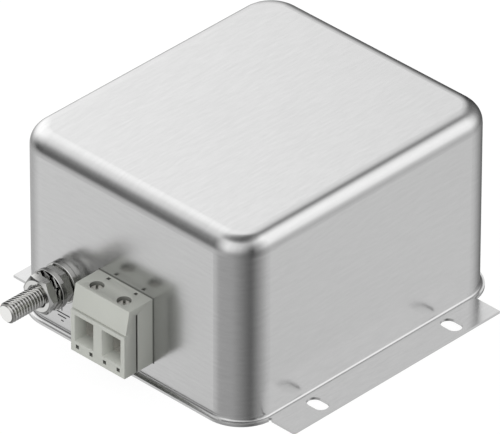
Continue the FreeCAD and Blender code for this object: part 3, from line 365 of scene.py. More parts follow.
def rolled_lines(tree):
    """Give a noise of long fine lines: along Y on level faces and along the horizon on upright ones."""
    place = add_node(tree, "ShaderNodeTexCoord").outputs["Object"]
    normal = add_node(tree, "ShaderNodeNewGeometry").outputs["Normal"]
    parts = add_node(tree, "ShaderNodeSeparateXYZ", {}, {0: normal})
    level = add_node(tree, "ShaderNodeMath", {"operation": "ABSOLUTE"}, {0: parts.outputs["Z"]})
    along, across = 1 / (LINE_LENGTH * MM), 1 / (LINE_PITCH * MM)
    noises = []
    for scale in ((along, along, across), (across, along, along)):
        vector = add_node(tree, "ShaderNodeMapping", {"Scale": scale}, {"Vector": place})
        noise = add_node(tree, "ShaderNodeTexNoise", {"Scale": 1.0, "Detail": 3.0}, {
            "Vector": vector.outputs[0]})
        noises.append(noise.outputs["Fac"])
    mix = add_node(tree, "ShaderNodeMix", {"data_type": "FLOAT"}, {
        0: level.outputs[0], NUMBER_A: noises[0], NUMBER_B: noises[1]})
    return mix.outputs[0]


def drawn_steel(name, colours, roughness):
    """Make rolled sheet steel between two greys."""
    material, tree, shader = new_material(name, Metallic=1.0, Anisotropic=0.3)
    finish_surface(tree, shader, rolled_lines(tree), colours, roughness, (0.08, 0.02))
    return material


# Bright tinplate as it leaves the press: a soft mirror.
steel = drawn_steel("drawn_tinplate", ("#C8C8C8", "#D6D6D6"), (0.19, 0.25))
# The lid is stamped from duller sheet.
lid_steel = drawn_steel("pressed_tinplate", ("#B1B1B1", "#C1C1C1"), (0.23, 0.29))
print("sheet steels:", steel.name, lid_steel.name)

# %% [markdown]
# ## Plated metal
# The stud, nuts and washers are turned or stamped steel with nickel on it, bright on the stud and
# darker on what is threaded over it. Turning leaves rings round the stud's axis. The real rings are
# some hundredths of a millimetre apart and can't show, so they are drawn 0.3 mm apart. Down in the
# thread, shade is painted on the nickel as a darker grey. The clamp screws, straps and contacts are
# tinned: tin is whiter and duller, and it sets in grains, which are drawn a third of a millimetre
# across, coarser than real ones.

# %% Nickel and tin
STUD_LOW, STUD_HIGH, STUD_MIDDLE = box_in_mm("line_earth_stud")
STUD_X, STUD_Z = STUD_MIDDLE[0], STUD_MIDDLE[2]
RING_PITCH, TIN_GRAIN = 0.3, 0.35
# From the first radius to the second the painted shade in the thread fades out. So it does on faces
# that look along the stud, from the first share of their normal on its axis to the second.
THREAD_SHADE_RADIUS, UNSHADED_RADIUS = 2.45, 2.95
THREAD_SHADE_SHARE, UNSHADED_SHARE = 0.9, 0.96
# A wave texture at scale 1 repeats at this length.
WAVE_LENGTH = math.pi / 10


def turned_nickel(name, colours):
    """Make nickel plate over turned steel, with rings round the stud and painted shade in its thread."""
    material, tree, shader = new_material(name, Metallic=1.0)
    place = add_node(tree, "ShaderNodeTexCoord").outputs["Object"]
    centred = add_node(tree, "ShaderNodeMapping", {
        "Location": (-STUD_X * MM, 0, -STUD_Z * MM), "Scale": (1, 0, 1)}, {"Vector": place})
    rings = add_node(tree, "ShaderNodeTexWave", {
        "wave_type": "RINGS", "rings_direction": "Y", "Scale": WAVE_LENGTH / (RING_PITCH * MM),
        "Distortion": 1.5, "Detail": 2.0}, {"Vector": centred.outputs[0]})
    radius = add_node(tree, "ShaderNodeVectorMath", {"operation": "LENGTH"}, {0: centred.outputs[0]})
    crest = add_node(tree, "ShaderNodeMapRange", {
        "From Min": THREAD_SHADE_RADIUS * MM, "From Max": UNSHADED_RADIUS * MM}, {"Value": radius.outputs["Value"]})
    normal = add_node(tree, "ShaderNodeNewGeometry").outputs["Normal"]
    parts = add_node(tree, "ShaderNodeSeparateXYZ", {}, {0: normal})
    facing = add_node(tree, "ShaderNodeMath", {"operation": "ABSOLUTE"}, {0: parts.outputs["Y"]})
    end = add_node(tree, "ShaderNodeMapRange", {"From Min": THREAD_SHADE_SHARE, "From Max": UNSHADED_SHARE}, {
        "Value": facing.outputs[0]})
    unshaded = add_node(tree, "ShaderNodeMath", {"operation": "MAXIMUM"}, {
        0: crest.outputs[0], 1: end.outputs[0]})
    finish_surface(tree, shader, rings.outputs["Fac"], colours, (0.07, 0.12), (0.03, 0.01))
    plate = shader.inputs["Base Color"].links[0].from_socket
    # Painted shade: inside the thread the plate's colour goes to a darker grey.
    colour = add_node(tree, "ShaderNodeMix", {"data_type": "RGBA", COLOUR_A: linear("#A8A7A4")}, {
        0: unshaded.outputs[0], COLOUR_B: plate})
    tree.links.new(colour.outputs[COLOUR_RESULT], shader.inputs["Base Color"])
    return material


def tin_plate():
    """Make dull tin with fine grains, drawn partly matt so that it stays light between dark walls."""
    material, tree, shader = new_material("dull_tin_plate", Metallic=0.3)
    place = add_node(tree, "ShaderNodeTexCoord").outputs["Object"]
    grains = add_node(tree, "ShaderNodeTexVoronoi", {"Scale": 1 / (TIN_GRAIN * MM)}, {"Vector": place})
    grey = add_node(tree, "ShaderNodeSeparateColor", {}, {0: grains.outputs["Color"]})
    finish_surface(tree, shader, grey.outputs[0], ("#D4D2CB", "#DEDDD7"), (0.45, 0.55), (0.05, 0.02))
    return material


nickel = turned_nickel("bright_nickel_plate", ("#EDEDEB", "#F3F3F1"))
# The nuts and washers have a thinner plate on plain steel, and look darker than the stud.
nickel_on_nuts = turned_nickel("nickel_plate_on_nuts", ("#D0D0CE", "#D8D8D6"))
nickel_on_washers = turned_nickel("nickel_plate_on_washers", ("#BEBEBC", "#C6C6C4"))
tin = tin_plate()
print("the stud's axis is at", STUD_X, "mm across and", STUD_Z, "mm up")

# %% [markdown]
# ## Moulded plastic
# The terminal blocks are light grey polyamide from a spark-eroded mould, so the skin has a very fine
# even grain that spreads the light and keeps any highlight soft. The choke's carrier and the board's
# spacers are black polyester, and the big capacitors sit in grey boxes of the same kind. The real
# grain is about 0.05 mm. It is drawn at 0.2 mm, so that close views show it. Patches some 6 mm wide
# are where the melt flowed unevenly.

# %% Moulded plastics
MOULD_GRAIN, FLOW_PATCH = 0.2, 6


def moulded(name, colours, roughness):
    """Make a moulded plastic with fine grain and slightly uneven colour."""
    material, tree, shader = new_material(name)
    place = add_node(tree, "ShaderNodeTexCoord").outputs["Object"]
    grain, flow = [add_node(tree, "ShaderNodeTexNoise", {"Scale": 1 / (size * MM), "Detail": detail}, {
        "Vector": place}) for size, detail in ((MOULD_GRAIN, 2.0), (FLOW_PATCH, 1.0))]
    both = add_node(tree, "ShaderNodeMix", {"data_type": "FLOAT", 0: 0.5}, {
        NUMBER_A: grain.outputs["Fac"], NUMBER_B: flow.outputs["Fac"]})
    finish_surface(tree, shader, both.outputs[0], colours, roughness, (0.12, 0.03))
    return material


polyamide = moulded("grey_polyamide", ("#BFC1BA", "#C8CAC3"), (0.5, 0.6))
black_polyester = moulded("black_polyester", ("#1B1C1D", "#2A2B2C"), (0.42, 0.55))
grey_box = moulded("grey_polyester_box", ("#747671", "#7E807B"), (0.38, 0.5))
print("plastics:", polyamide.name, black_polyester.name, grey_box.name)

# %% [markdown]
# ## Dipped and baked coats
# The ferrite ring, the disc capacitors and the resistor are dipped in epoxy or lacquer and baked. The
# coat flows before it sets, so its surface is smooth with long low waves, like orange peel, and it
# shines more than a moulded part.

# %% Dipped coats
def dipped(name, colours, wave):
    """Make a baked coat whose surface has low waves of this length in millimetres."""
    material, tree, shader = new_material(name, Coat_Weight=0.4, Coat_Roughness=0.12)
    place = add_node(tree, "ShaderNodeTexCoord").outputs["Object"]
    peel = add_node(tree, "ShaderNodeTexNoise", {"Scale": 1 / (wave * MM), "Detail": 1.0}, {
        "Vector": place})
    finish_surface(tree, shader, peel.outputs["Fac"], colours, (0.25, 0.38), (0.3, 0.05))
    return material


green_epoxy = dipped("green_epoxy_on_ferrite", ("#3F5B4B", "#4C6B58"), 1.6)
blue_epoxy = dipped("blue_epoxy_dip", ("#23549A", "#2E63AE"), 0.9)
cream_lacquer = dipped("cream_lacquer", ("#D7C49C", "#E2D2AE"), 0.7)
print("dipped coats:", green_epoxy.name, blue_epoxy.name, cream_lacquer.name)

# %% [markdown]
# ## Board, film and wire
# The board is woven glass under green lacquer: the threads of the cloth, half a millimetre apart, show
# through as a faint check. The sheet under it and the wall between the choke's windings are milky
# polyester film, with clouds of haze some 3 mm wide. The choke's wire is copper under a clear amber
# enamel, with streaks about a millimetre long where the enamel ran.

# %% Board, film and wire
CLOTH_PITCH, HAZE_CLOUD, ENAMEL_STREAK = 0.5, 3, 1.2


def woven_board():
    """Make green lacquer over glass cloth, with threads both ways."""
    material, tree, shader = new_material("green_glass_laminate", Coat_Weight=0.3, Coat_Roughness=0.2)
    place = add_node(tree, "ShaderNodeTexCoord").outputs["Object"]
    threads = [add_node(tree, "ShaderNodeTexWave", {
        "bands_direction": way, "Scale": WAVE_LENGTH / (CLOTH_PITCH * MM), "Distortion": 0.4}, {
        "Vector": place}) for way in ("X", "Y")]
    cloth = add_node(tree, "ShaderNodeMix", {"data_type": "FLOAT", 0: 0.5}, {
        NUMBER_A: threads[0].outputs["Fac"], NUMBER_B: threads[1].outputs["Fac"]})
    finish_surface(tree, shader, cloth.outputs[0], ("#2C5C3C", "#3A7049"), (0.35, 0.45), (0.08, 0.02))
    return material


def milky_film():
    """Make polyester film that lets a little light through."""
    material, tree, shader = new_material("milky_polyester_film", Transmission_Weight=0.25)
    place = add_node(tree, "ShaderNodeTexCoord").outputs["Object"]
    haze = add_node(tree, "ShaderNodeTexNoise", {"Scale": 1 / (HAZE_CLOUD * MM), "Detail": 4.0}, {
        "Vector": place})
    finish_surface(tree, shader, haze.outputs["Fac"], ("#DCDAD0", "#E8E6DE"), (0.3, 0.42), (0.05, 0.02))
    return material


def enamelled_copper():
    """Make copper wire under clear amber enamel."""
    material, tree, shader = new_material(
        "enamelled_copper", Metallic=1.0, Coat_Weight=0.8, Coat_Roughness=0.08,
        Coat_Tint=linear("#D98A4A"))
    place = add_node(tree, "ShaderNodeTexCoord").outputs["Object"]
    streaks = add_node(tree, "ShaderNodeTexNoise", {"Scale": 1 / (ENAMEL_STREAK * MM), "Detail": 2.0}, {
        "Vector": place})
    finish_surface(
        tree, shader, streaks.outputs["Fac"], ("#B8673A", "#C97B48"), (0.2, 0.3), (0.05, 0.02))
    return material


laminate = woven_board()
film = milky_film()
copper = enamelled_copper()
print("inner finishes:", laminate.name, film.name, copper.name)

# %% [markdown]
# ## Dressing the CAD nodes
# The record names a slot for each node, so one list of finishes dresses them all. A second, short list
# then gives a few small metal pieces their own plate.

# %% Dress the nodes
FINISHES = {
    "drawn_steel": steel,
    "pressed_steel": lid_steel,
    "terminal_plastic": polyamide,
    "plated_steel": nickel,
    "tinned_copper": tin,
    "board_laminate": laminate,
    "liner_film": film,
    "black_plastic": black_polyester,
    "coated_ferrite": green_epoxy,
    "enamelled_wire": copper,
    "x_capacitor_case": grey_box,
    "y_capacitor_case": blue_epoxy,
    "resistor_coating": cream_lacquer,
}
# The clamp screws are plated dull, so their heads stay light between the funnel walls' painted shade.
OWN_FINISHES = {
    "clamp_screws": tin,
    "inner_nut": nickel_on_nuts,
    "outer_nut": nickel_on_nuts,
    "wall_washer": nickel_on_washers,
    "flat_washer": nickel_on_washers,
    "toothed_washer": nickel_on_washers,
}


def dress(piece, finish):
    """Give a mesh one finish and no other."""
    piece.data.materials.clear()
    piece.data.materials.append(finish)


for part in frame["record"]["subparts"]:
    dress(nodes[part["node"]], FINISHES[part["material_slot"]])
for side in ("line", "load"):
    for name, finish in OWN_FINISHES.items():
        dress(nodes[f"{side}_{name}"], finish)

# %% [markdown]
# ## Working by hand
# Every new piece below starts as a primitive or a copy of its CAD node, and is shaped with Blender's
# own operators. These helpers only save typing: one selects a piece and nothing else, one applies a
# modifier, one moves the finished mesh to its place, so that the object itself stays at the origin,
# and one hands the piece over to the frame.

# %% Helpers for modelling
# Points this near each other are welded, and points this near a cut lie on it, in mm.
WELD, ON_THE_CUT = 0.001, 0.0001


def start_alone(piece):
    """Make this the only selected object."""
    bpy.ops.object.select_all(action="DESELECT")
    piece.select_set(True)
    bpy.context.view_layer.objects.active = piece


def apply_modifier(piece, kind, **settings):
    """Add a modifier with its settings and apply it."""
    start_alone(piece)
    modifier = piece.modifiers.new(kind.lower(), kind)
    for name, value in settings.items():
        setattr(modifier, name, value)
    bpy.ops.object.modifier_apply(modifier=modifier.name)


def put_in_place(piece, location, tilt):
    """Tilt a piece about X, move it by millimetres, and bake both into its mesh."""
    start_alone(piece)
    piece.rotation_euler = (tilt, 0, 0)
    piece.location = [value * MM for value in location]
    bpy.ops.object.transform_apply(location=True, rotation=True, scale=True)


def hand_in(piece, name, slot, *replaced):
    """Name a finished piece, dress it, attach it to the root and hide the CAD nodes that it replaces."""
    piece.name = name
    dress(piece, FINISHES[slot])
    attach(piece, "root")
    if replaced:
        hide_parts(*replaced)


# %% [markdown]
# ## The M6 studs
# Each earth stud is an M6 screw with a hexagon head inside the can. Its thread catches the light as a
# row of bright and dark lines, so it is cut for real. A tooth of the thread is drawn from one point,
# and the Screw modifier winds it up a helix with the standard pitch of 1 mm. Two cuts give it flat
# ends, and a chamfered rod that it must stay inside takes the sharp edge off its tip. The stud is
# made upright, with the underside of its head at height 0.

# %% Thread
THREAD_PITCH, FLANK_ANGLE = 1.0, math.radians(30)
THREAD_CREST, THREAD_ROOT = 3.0, 2.39
STUD_SEAT = -box_in_mm("line_inner_washer")[1][1]
STUD_LENGTH = -STUD_LOW[1] - STUD_SEAT
THREAD_START, SPARE_TURNS = 0.8, 3
SEED_SIZE = 0.1
ROUND_STEPS = 40


def wound_thread():
    """Wind one tooth up the stud and cut the ends flat."""
    bpy.ops.object.select_all(action="DESELECT")
    bpy.ops.mesh.primitive_plane_add(
        size=SEED_SIZE * MM, location=(THREAD_ROOT * MM, 0, -THREAD_PITCH * MM))
    thread = bpy.context.object
    bpy.ops.object.transform_apply(location=True)
    bpy.ops.object.mode_set(mode="EDIT")
    bpy.ops.mesh.select_all(action="SELECT")
    bpy.ops.mesh.merge(type="CENTER")
    depth = THREAD_CREST - THREAD_ROOT
    flank = depth * math.tan(FLANK_ANGLE)
    # The crest of a metric thread is flat for an eighth of its pitch.
    crest = THREAD_PITCH / 8
    root = THREAD_PITCH - 2 * flank - crest
    for outwards, upwards in ((0, root), (depth, flank), (0, crest), (-depth, flank)):
        bpy.ops.mesh.extrude_region_move(TRANSFORM_OT_translate={
            "value": (outwards * MM, 0, upwards * MM)})
    bpy.ops.object.mode_set(mode="OBJECT")
    apply_modifier(
        thread, "SCREW", axis="Z", angle=math.tau, screw_offset=THREAD_PITCH * MM,
        iterations=round(STUD_LENGTH / THREAD_PITCH) + SPARE_TURNS, steps=ROUND_STEPS,
        render_steps=ROUND_STEPS, use_merge_vertices=True, merge_threshold=WELD * MM)
    bpy.ops.object.mode_set(mode="EDIT")
    for height, outer in ((THREAD_START, False), (STUD_LENGTH, True)):
        bpy.ops.mesh.select_all(action="SELECT")
        bpy.ops.mesh.bisect(
            plane_co=(0, 0, height * MM), plane_no=(0, 0, 1), use_fill=True,
            clear_outer=outer, clear_inner=not outer, threshold=ON_THE_CUT * MM)
    bpy.ops.mesh.select_all(action="SELECT")
    bpy.ops.mesh.remove_doubles(threshold=WELD * MM)
    bpy.ops.mesh.normals_make_consistent(inside=False)
    bpy.ops.object.mode_set(mode="OBJECT")
    return thread


thread = wound_thread()
print("the thread has", len(thread.data.polygons), "faces")

# %% Rods
NEARLY_TOP = 0.01


def chamfered_rod(sides, radius, low, high, chamfer, slope=1.0, turn=0.0):
    """Make a rod whose top edge is cut back by the chamfer, which rises by slope times its width."""
    bpy.ops.object.select_all(action="DESELECT")
    bpy.ops.mesh.primitive_cylinder_add(
        vertices=sides, radius=radius * MM, depth=(high - low) * MM,
        location=(0, 0, (low + high) / 2 * MM), rotation=(0, 0, turn))
    rod = bpy.context.object
    bpy.ops.object.transform_apply(location=True, rotation=True)
    bpy.ops.object.mode_set(mode="EDIT")
    bpy.ops.mesh.select_mode(type="FACE")
    bpy.ops.mesh.select_all(action="DESELECT")
    bpy.ops.object.mode_set(mode="OBJECT")
    for face in rod.data.polygons:
        face.select = face.normal.z > 0.9
    bpy.ops.object.mode_set(mode="EDIT")
    inner = (radius - chamfer) / radius
    bpy.ops.mesh.extrude_region_move(TRANSFORM_OT_translate={"value": (0, 0, 0)})
    bpy.ops.transform.resize(value=(inner, inner, 1), center_override=(0, 0, high * MM))
    bpy.ops.object.mode_set(mode="OBJECT")
    drop = chamfer * slope * MM
    for vertex in rod.data.vertices:
        outside = math.hypot(vertex.co.x, vertex.co.y) > (radius - chamfer / 2) * MM
        if outside and vertex.co.z > (high - NEARLY_TOP) * MM:
            vertex.co.z -= drop
    return rod


def combine(piece, tool, operation):
    """Join or cut a piece with a tool, and throw the tool away."""
    apply_modifier(piece, "BOOLEAN", object=tool, operation=operation, solver="EXACT")
    bpy.data.objects.remove(tool)


# %% Studs
HEAD_HEIGHT = STUD_SEAT + STUD_HIGH[1]
HEAD_WIDTH = STUD_HIGH[2] - STUD_LOW[2]
HEAD_CHAMFER, HEAD_SLOPE, HEAD_TURN = 1.1, math.tan(math.radians(30)), math.radians(30)
TIP_CHAMFER = 0.65
FINE_STEPS = 64
# How far the two cutting rods stand clear of what they cut, and the shank below the crests.
LIMIT_SPARE, DOME_SPARE, SHANK_DROP = 0.2, 0.05, 0.05

limit = chamfered_rod(
    FINE_STEPS, THREAD_CREST + LIMIT_SPARE, low=-2, high=STUD_LENGTH, chamfer=TIP_CHAMFER + LIMIT_SPARE)
combine(thread, limit, "INTERSECT")
shank = chamfered_rod(ROUND_STEPS, THREAD_CREST - SHANK_DROP, low=-1, high=1.4, chamfer=0.3)
combine(thread, shank, "UNION")
corner = HEAD_WIDTH / math.sqrt(3)
head = chamfered_rod(6, corner, low=0, high=HEAD_HEIGHT, chamfer=0.01, turn=HEAD_TURN)
dome = chamfered_rod(
    FINE_STEPS, corner + DOME_SPARE, low=-1, high=HEAD_HEIGHT, chamfer=HEAD_CHAMFER, slope=HEAD_SLOPE)
combine(head, dome, "INTERSECT")
start_alone(head)
head.rotation_euler = (math.pi, 0, 0)
bpy.ops.object.transform_apply(rotation=True)
combine(thread, head, "UNION")
start_alone(thread)
bpy.ops.object.shade_smooth_by_angle(angle=math.radians(32))
line_stud = thread
load_stud = thread.copy()
load_stud.data = thread.data.copy()
scene.collection.objects.link(load_stud)
put_in_place(line_stud, (STUD_X, -STUD_SEAT, STUD_Z), math.pi / 2)
put_in_place(load_stud, (STUD_X, STUD_SEAT, STUD_Z), -math.pi / 2)
hand_in(line_stud, "line_threaded_stud", "plated_steel", "line_earth_stud")
hand_in(load_stud, "load_threaded_stud", "plated_steel", "load_earth_stud")
print("each stud is", STUD_LENGTH, "mm under its head and has", len(line_stud.data.polygons), "faces")

# %% [markdown]
# ## Terminal blocks with soft edges
# No moulded edge is sharp, and the thin light line along each edge is what tells the eye that the
# block is plastic. The CAD solid already has every hole and ledge, so a copy of it is welded, its flat
# faces are cleaned of needless edges, and a narrow bevel rounds what is left.
#
# Little light gets into the small holes, the screw funnels and the seam where the block meets the
# wall, but the soft light of the tent shows too much of it, so shade is painted on them as darker
# plastic. The wide wire entries glow with light that bounces from wall to wall, so light is painted
# on them as lighter plastic.

# %% Painted shade and light for the terminal blocks
# Painted shade for the small holes, and for the funnels and the seam; painted light for the wire entries.
polyamide_painted_shade_in_holes = moulded("grey_polyamide_painted_shade_in_holes", ("#6C6D68", "#787974"), (0.55, 0.65))
polyamide_painted_shade_in_funnels_and_seam = moulded("grey_polyamide_painted_shade_in_funnels_and_seam", ("#787974", "#838480"), (0.55, 0.65))
polyamide_painted_light_in_entries = moulded("grey_polyamide_painted_light_in_entries", ("#DCDED7", "#E4E6DF"), (0.5, 0.6))
print("openings:", polyamide_painted_shade_in_holes.name, polyamide_painted_shade_in_funnels_and_seam.name, polyamide_painted_light_in_entries.name)

# %% Places on the terminal blocks
# The strip of painted shade along the seam reaches this far out from the wall, in mm.
WALL, SEAM_SHADE_WIDTH = -box_in_mm("line_wall_washer")[1][1], 0.28
POLE_PITCH = 10.16
POLE = POLE_PITCH / 2
SCREW_REACH, FUNNEL_RADIUS = -box_in_mm("line_clamp_screws")[2][1], 2.5
# A rim round the block holds it in the wall. The block's side is set in from it by the overlap.
RIM_OVERLAP, GROOVE_DEPTH = 1.5, 1.0
BLOCK_HIGH, BLOCK_CENTRE = box_in_mm("line_terminal_housing")[1:]
BLOCK_MIDDLE = BLOCK_CENTRE[0]
GROOVE_FLOOR = BLOCK_HIGH[0] - BLOCK_MIDDLE - RIM_OVERLAP - GROOVE_DEPTH
# Each opening is three ranges in mm: height, distance out along Y, and distance across from the
# block's middle.
ANY = (0, math.inf)
KEY_HOLES = ((8.2, 9.5), (55, 59.7), (0, 8.5))
TEST_HOLES = ((23, 27.3), (49.9, 51), (0, 6))
GROOVES = (ANY, (54.7, 55.6), (8.4, 9.85))
FUNNELS = ((22, 27.3), ANY, ANY)
WIRE_ENTRIES = ((9.6, 20.6), (44.5, 59.7), (POLE - 4.3, POLE + 4.3))
# The floors of the small ones are found in the same way, and go this much further in.
KEY_HOLE_FLOORS, KEY_HOLE_EXTRA = ((8, 9.6), (57, 57.6), ANY), 2.0
TEST_HOLE_FLOORS, TEST_HOLE_EXTRA = ((24.8, 25.1), (0, 51.2), ANY), 1.8
GROOVE_FLOORS, GROOVE_EXTRA = (ANY, (54, 56), (GROOVE_FLOOR - 0.05, GROOVE_FLOOR + 0.05)), 0.45


def measured(place):
    """Give a place's height, distance out and distance across from the block's middle, in mm."""
    x, y, z = place / MM
    return z, abs(y), abs(x - BLOCK_MIDDLE)


def lies_in(place, ranges):
    """Tell whether all three measures of a place are in their ranges."""
    return all(low <= value < high for value, (low, high) in zip(measured(place), ranges))


print("the wall is at", WALL, "mm and the screws at", SCREW_REACH, "mm")

# %% Terminal blocks
EDGE_WIDTH = 0.12
# The order of a block's plastics. Number 0 is its outside, 1 and 3 carry painted shade, 2 painted light.
SHADE_IN_HOLES, LIGHT_IN_ENTRIES, SHADE_IN_FUNNELS_AND_SEAM = 1, 2, 3


def deepen_small_holes(block):
    """Push the floors of the key holes, the test holes and the side grooves further in."""
    for vertex in block.data.vertices:
        if lies_in(vertex.co, KEY_HOLE_FLOORS):
            vertex.co.y -= math.copysign(KEY_HOLE_EXTRA * MM, vertex.co.y)
        elif lies_in(vertex.co, TEST_HOLE_FLOORS):
            vertex.co.z -= TEST_HOLE_EXTRA * MM
        elif lies_in(vertex.co, GROOVE_FLOORS):
            vertex.co.x -= math.copysign(GROOVE_EXTRA * MM, vertex.co.x - BLOCK_MIDDLE * MM)


def softened(node_name):
    """Copy a CAD node's mesh, weld it, deepen its small holes and round its edges."""
    piece = bpy.data.objects.new(node_name, nodes[node_name].data.copy())
    scene.collection.objects.link(piece)
    start_alone(piece)
    bpy.ops.object.mode_set(mode="EDIT")
    bpy.ops.mesh.select_all(action="SELECT")
    bpy.ops.mesh.remove_doubles(threshold=WELD * MM)
    bpy.ops.mesh.customdata_custom_splitnormals_clear()
    bpy.ops.mesh.dissolve_limited(angle_limit=math.radians(0.5))
    bpy.ops.object.mode_set(mode="OBJECT")
    deepen_small_holes(piece)
    apply_modifier(
        piece, "BEVEL", width=EDGE_WIDTH * MM, segments=2, limit_method="ANGLE",
        angle_limit=math.radians(40), use_clamp_overlap=True, miter_outer="MITER_ARC")
    bpy.ops.object.shade_smooth_by_angle(angle=math.radians(35))
    return piece


def cut_seam_shade_line(block, sign):
    """Cut a line round the block, a little out from the wall, so that the strip can take painted shade.
    """
    start_alone(block)
    bpy.ops.object.mode_set(mode="EDIT")
    bpy.ops.mesh.select_all(action="SELECT")
    bpy.ops.mesh.bisect(
        plane_co=(0, sign * (WALL + SEAM_SHADE_WIDTH) * MM, 0), plane_no=(0, 1, 0),
        threshold=ON_THE_CUT * MM)
    bpy.ops.object.mode_set(mode="OBJECT")


def paint_shade_and_light_in_openings(block):
    """Paint shade on holes, grooves, funnels and seam with darker plastic, light on wire entries with
    lighter.
    """
    for plastic in (polyamide_painted_shade_in_holes, polyamide_painted_light_in_entries, polyamide_painted_shade_in_funnels_and_seam):
        block.data.materials.append(plastic)
    for face in block.data.polygons:
        height, out, across = measured(face.center)
        by_screw = math.hypot(across - POLE, out - SCREW_REACH) < FUNNEL_RADIUS
        in_funnel = by_screw and lies_in(face.center, FUNNELS)
        # Holes, funnels and the seam strip take painted shade, the wire entries painted light.
        if any(lies_in(face.center, opening) for opening in (KEY_HOLES, TEST_HOLES, GROOVES)):
            face.material_index = SHADE_IN_HOLES
        # Painted light: the wire entries take a lighter plastic.
        elif lies_in(face.center, WIRE_ENTRIES):
            face.material_index = LIGHT_IN_ENTRIES
        elif in_funnel or out < WALL + SEAM_SHADE_WIDTH:
            face.material_index = SHADE_IN_FUNNELS_AND_SEAM


for side, sign in (("line", -1), ("load", 1)):
    block = softened(f"{side}_terminal_housing")
    cut_seam_shade_line(block, sign)
    hand_in(block, f"{side}_terminal_block", "terminal_plastic", f"{side}_terminal_housing")
    paint_shade_and_light_in_openings(block)
    painted_faces = sum(face.material_index > 0 for face in block.data.polygons)
    print(block.name, "has", len(block.data.polygons), "faces,", painted_faces, "of them in its openings")

# %% [markdown]
# ## The earth mark
# Under the washer the wall carries the usual sign for earth in black print: a line that comes down
# from the stud and three bars, each shorter than the one above. A bar is a flat plane whose corners
# are rounded, raised by the thickness of the ink. It goes as far into the wall as it stands out of
# it, so that no gap shows.

# %% Earth mark
INK = 0.03
CORNER_SHARE = 0.4
MARK_LINES = (
    # middle across, middle up, width, height, in mm
    (-24.6, 9.3, 0.32, 4.2),
    (-24.9, 6.42, 6.5, 0.35),
    (-24.6, 5.33, 3.2, 0.35),
    (-24.5, 4.0, 1.0, 0.35),
)


def printed_line(across, up, width, height):
    """Make one flat rounded line, lying on its back."""
    bpy.ops.object.select_all(action="DESELECT")
    bpy.ops.mesh.primitive_plane_add(size=1, location=(across * MM, up * MM, 0))
    line = bpy.context.object
    line.scale = (width * MM, height * MM, 1)
    bpy.ops.object.transform_apply(location=True, scale=True)
    bpy.ops.object.mode_set(mode="EDIT")
    bpy.ops.mesh.select_all(action="SELECT")
    bpy.ops.mesh.bevel(offset=min(width, height) * CORNER_SHARE * MM, segments=3, affect="VERTICES")
    bpy.ops.mesh.select_all(action="SELECT")
    bpy.ops.mesh.extrude_region_move(TRANSFORM_OT_translate={"value": (0, 0, 2 * INK * MM)})
    bpy.ops.mesh.select_all(action="SELECT")
    bpy.ops.mesh.normals_make_consistent(inside=False)
    bpy.ops.object.mode_set(mode="OBJECT")
    return line


def printed_mark():
    """Join the four lines of the mark."""
    lines = [printed_line(*line) for line in MARK_LINES]
    start_alone(lines[0])
    for line in lines:
        line.select_set(True)
    bpy.ops.object.join()
    return lines[0]


line_mark = printed_mark()
put_in_place(line_mark, (0, -(WALL - INK), 0), math.pi / 2)
hand_in(line_mark, "line_earth_mark", "black_plastic")
load_mark = printed_mark()
put_in_place(load_mark, (0, WALL + INK, 0), math.pi / 2)
hand_in(load_mark, "load_earth_mark", "black_plastic")
print("marks:", line_mark.name, load_mark.name)

# %% [markdown]
# ## The choke's windings
# Inside the can, two windings of 2 mm enamelled wire sit on the ferrite ring, sixteen turns each. One
# turn is a rectangle with rounded corners that becomes a round wire, and copies of it are turned
# round the ring. The two ends go straight down through the board.

# %% Windings
WIRE_RADIUS, WIRE_GAP = 1.0, 0.2
CORE_SECTION = 9.0
CORE_LOW, CORE_HIGH = box_in_mm("choke_core")[:2]
WIRE_MIDDLE = WIRE_GAP + WIRE_RADIUS
TURN_BORE, TURN_OUTSIDE = CORE_HIGH[0] - CORE_SECTION - WIRE_MIDDLE, CORE_HIGH[0] + WIRE_MIDDLE
TURN_LOW, TURN_HIGH = CORE_LOW[2] - WIRE_MIDDLE, CORE_HIGH[2] + WIRE_MIDDLE
TURN_CORNER, END_ROUNDING = 2.4, 0.35
TURNS, WINDING_ANGLE = 16, 150
PIN_ANGLE, PIN_LOW = 55, box_in_mm("choke_winding_left")[0][2]


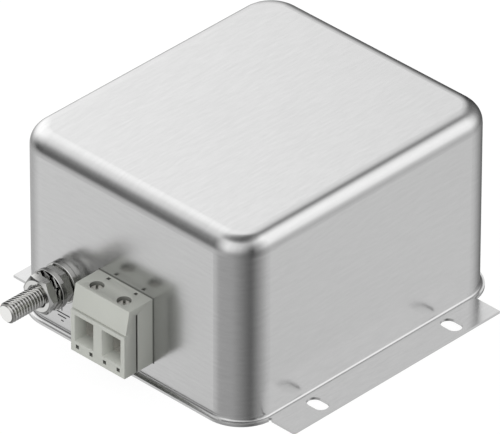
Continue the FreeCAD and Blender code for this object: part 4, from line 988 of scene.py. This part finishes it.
def wire_turn():
    """Make one closed turn of wire that stands in the XZ plane."""
    bpy.ops.object.select_all(action="DESELECT")
    middle = ((TURN_BORE + TURN_OUTSIDE) / 2 * MM, 0, (TURN_LOW + TURN_HIGH) / 2 * MM)
    bpy.ops.mesh.primitive_plane_add(size=1, location=middle, rotation=(math.pi / 2, 0, 0))
    turn = bpy.context.object
    turn.scale = ((TURN_OUTSIDE - TURN_BORE) * MM, (TURN_HIGH - TURN_LOW) * MM, 1)
    bpy.ops.object.transform_apply(location=True, rotation=True, scale=True)
    bpy.ops.object.mode_set(mode="EDIT")
    bpy.ops.mesh.select_all(action="SELECT")
    bpy.ops.mesh.bevel(offset=TURN_CORNER * MM, segments=4, affect="VERTICES")
    bpy.ops.mesh.select_all(action="SELECT")
    bpy.ops.mesh.delete(type="ONLY_FACE")
    bpy.ops.object.mode_set(mode="OBJECT")
    bpy.ops.object.convert(target="CURVE")
    turn.data.bevel_depth = WIRE_RADIUS * MM
    turn.data.bevel_resolution = 3
    bpy.ops.object.convert(target="MESH")
    return turn


def wire_end(angle):
    """Make one straight end with a rounded tip that goes down through the board."""
    bpy.ops.object.select_all(action="DESELECT")
    high = TURN_LOW + WIRE_RADIUS
    turn = math.radians(angle)
    middle = (TURN_OUTSIDE * math.cos(turn), TURN_OUTSIDE * math.sin(turn), (high + PIN_LOW) / 2)
    bpy.ops.mesh.primitive_cylinder_add(
        vertices=16, radius=WIRE_RADIUS * MM, depth=(high - PIN_LOW) * MM,
        location=[value * MM for value in middle])
    end = bpy.context.object
    bpy.ops.object.transform_apply(location=True)
    apply_modifier(end, "BEVEL", width=END_ROUNDING * MM, segments=2, limit_method="ANGLE")
    return end


def winding(facing):
    """Turn copies of one turn of wire round the ring, about the direction that the winding faces."""
    first = wire_turn()
    start_alone(first)
    bpy.ops.object.shade_smooth()
    step = WINDING_ANGLE / TURNS
    angles = [facing + (number - (TURNS - 1) / 2) * step for number in range(TURNS)]
    pieces = [wire_end(facing + PIN_ANGLE), wire_end(facing - PIN_ANGLE)]
    for angle in angles:
        copy = first.copy()
        copy.data = first.data.copy()
        scene.collection.objects.link(copy)
        copy.rotation_euler = (0, 0, math.radians(angle))
        pieces.append(copy)
    bpy.data.objects.remove(first)
    start_alone(pieces[0])
    for piece in pieces:
        piece.select_set(True)
    bpy.ops.object.transform_apply(rotation=True)
    bpy.ops.object.join()
    bpy.ops.object.shade_smooth_by_angle(angle=math.radians(40))
    return pieces[0]


for name, facing in (("left", 180), ("right", 0)):
    coil = winding(facing)
    hand_in(coil, f"choke_coil_{name}", "enamelled_wire", f"choke_winding_{name}")
    print(coil.name, "has", TURNS, "turns and", len(coil.data.polygons), "faces")

# %% [markdown]
# ## Finish
# The visual model must fill the same box as the CAD model, so both boxes are printed.

# %% Sizes and the end
scene_box = [list(corner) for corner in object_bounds()]
print("visual box in mm:", [in_mm(corner) for corner in scene_box])
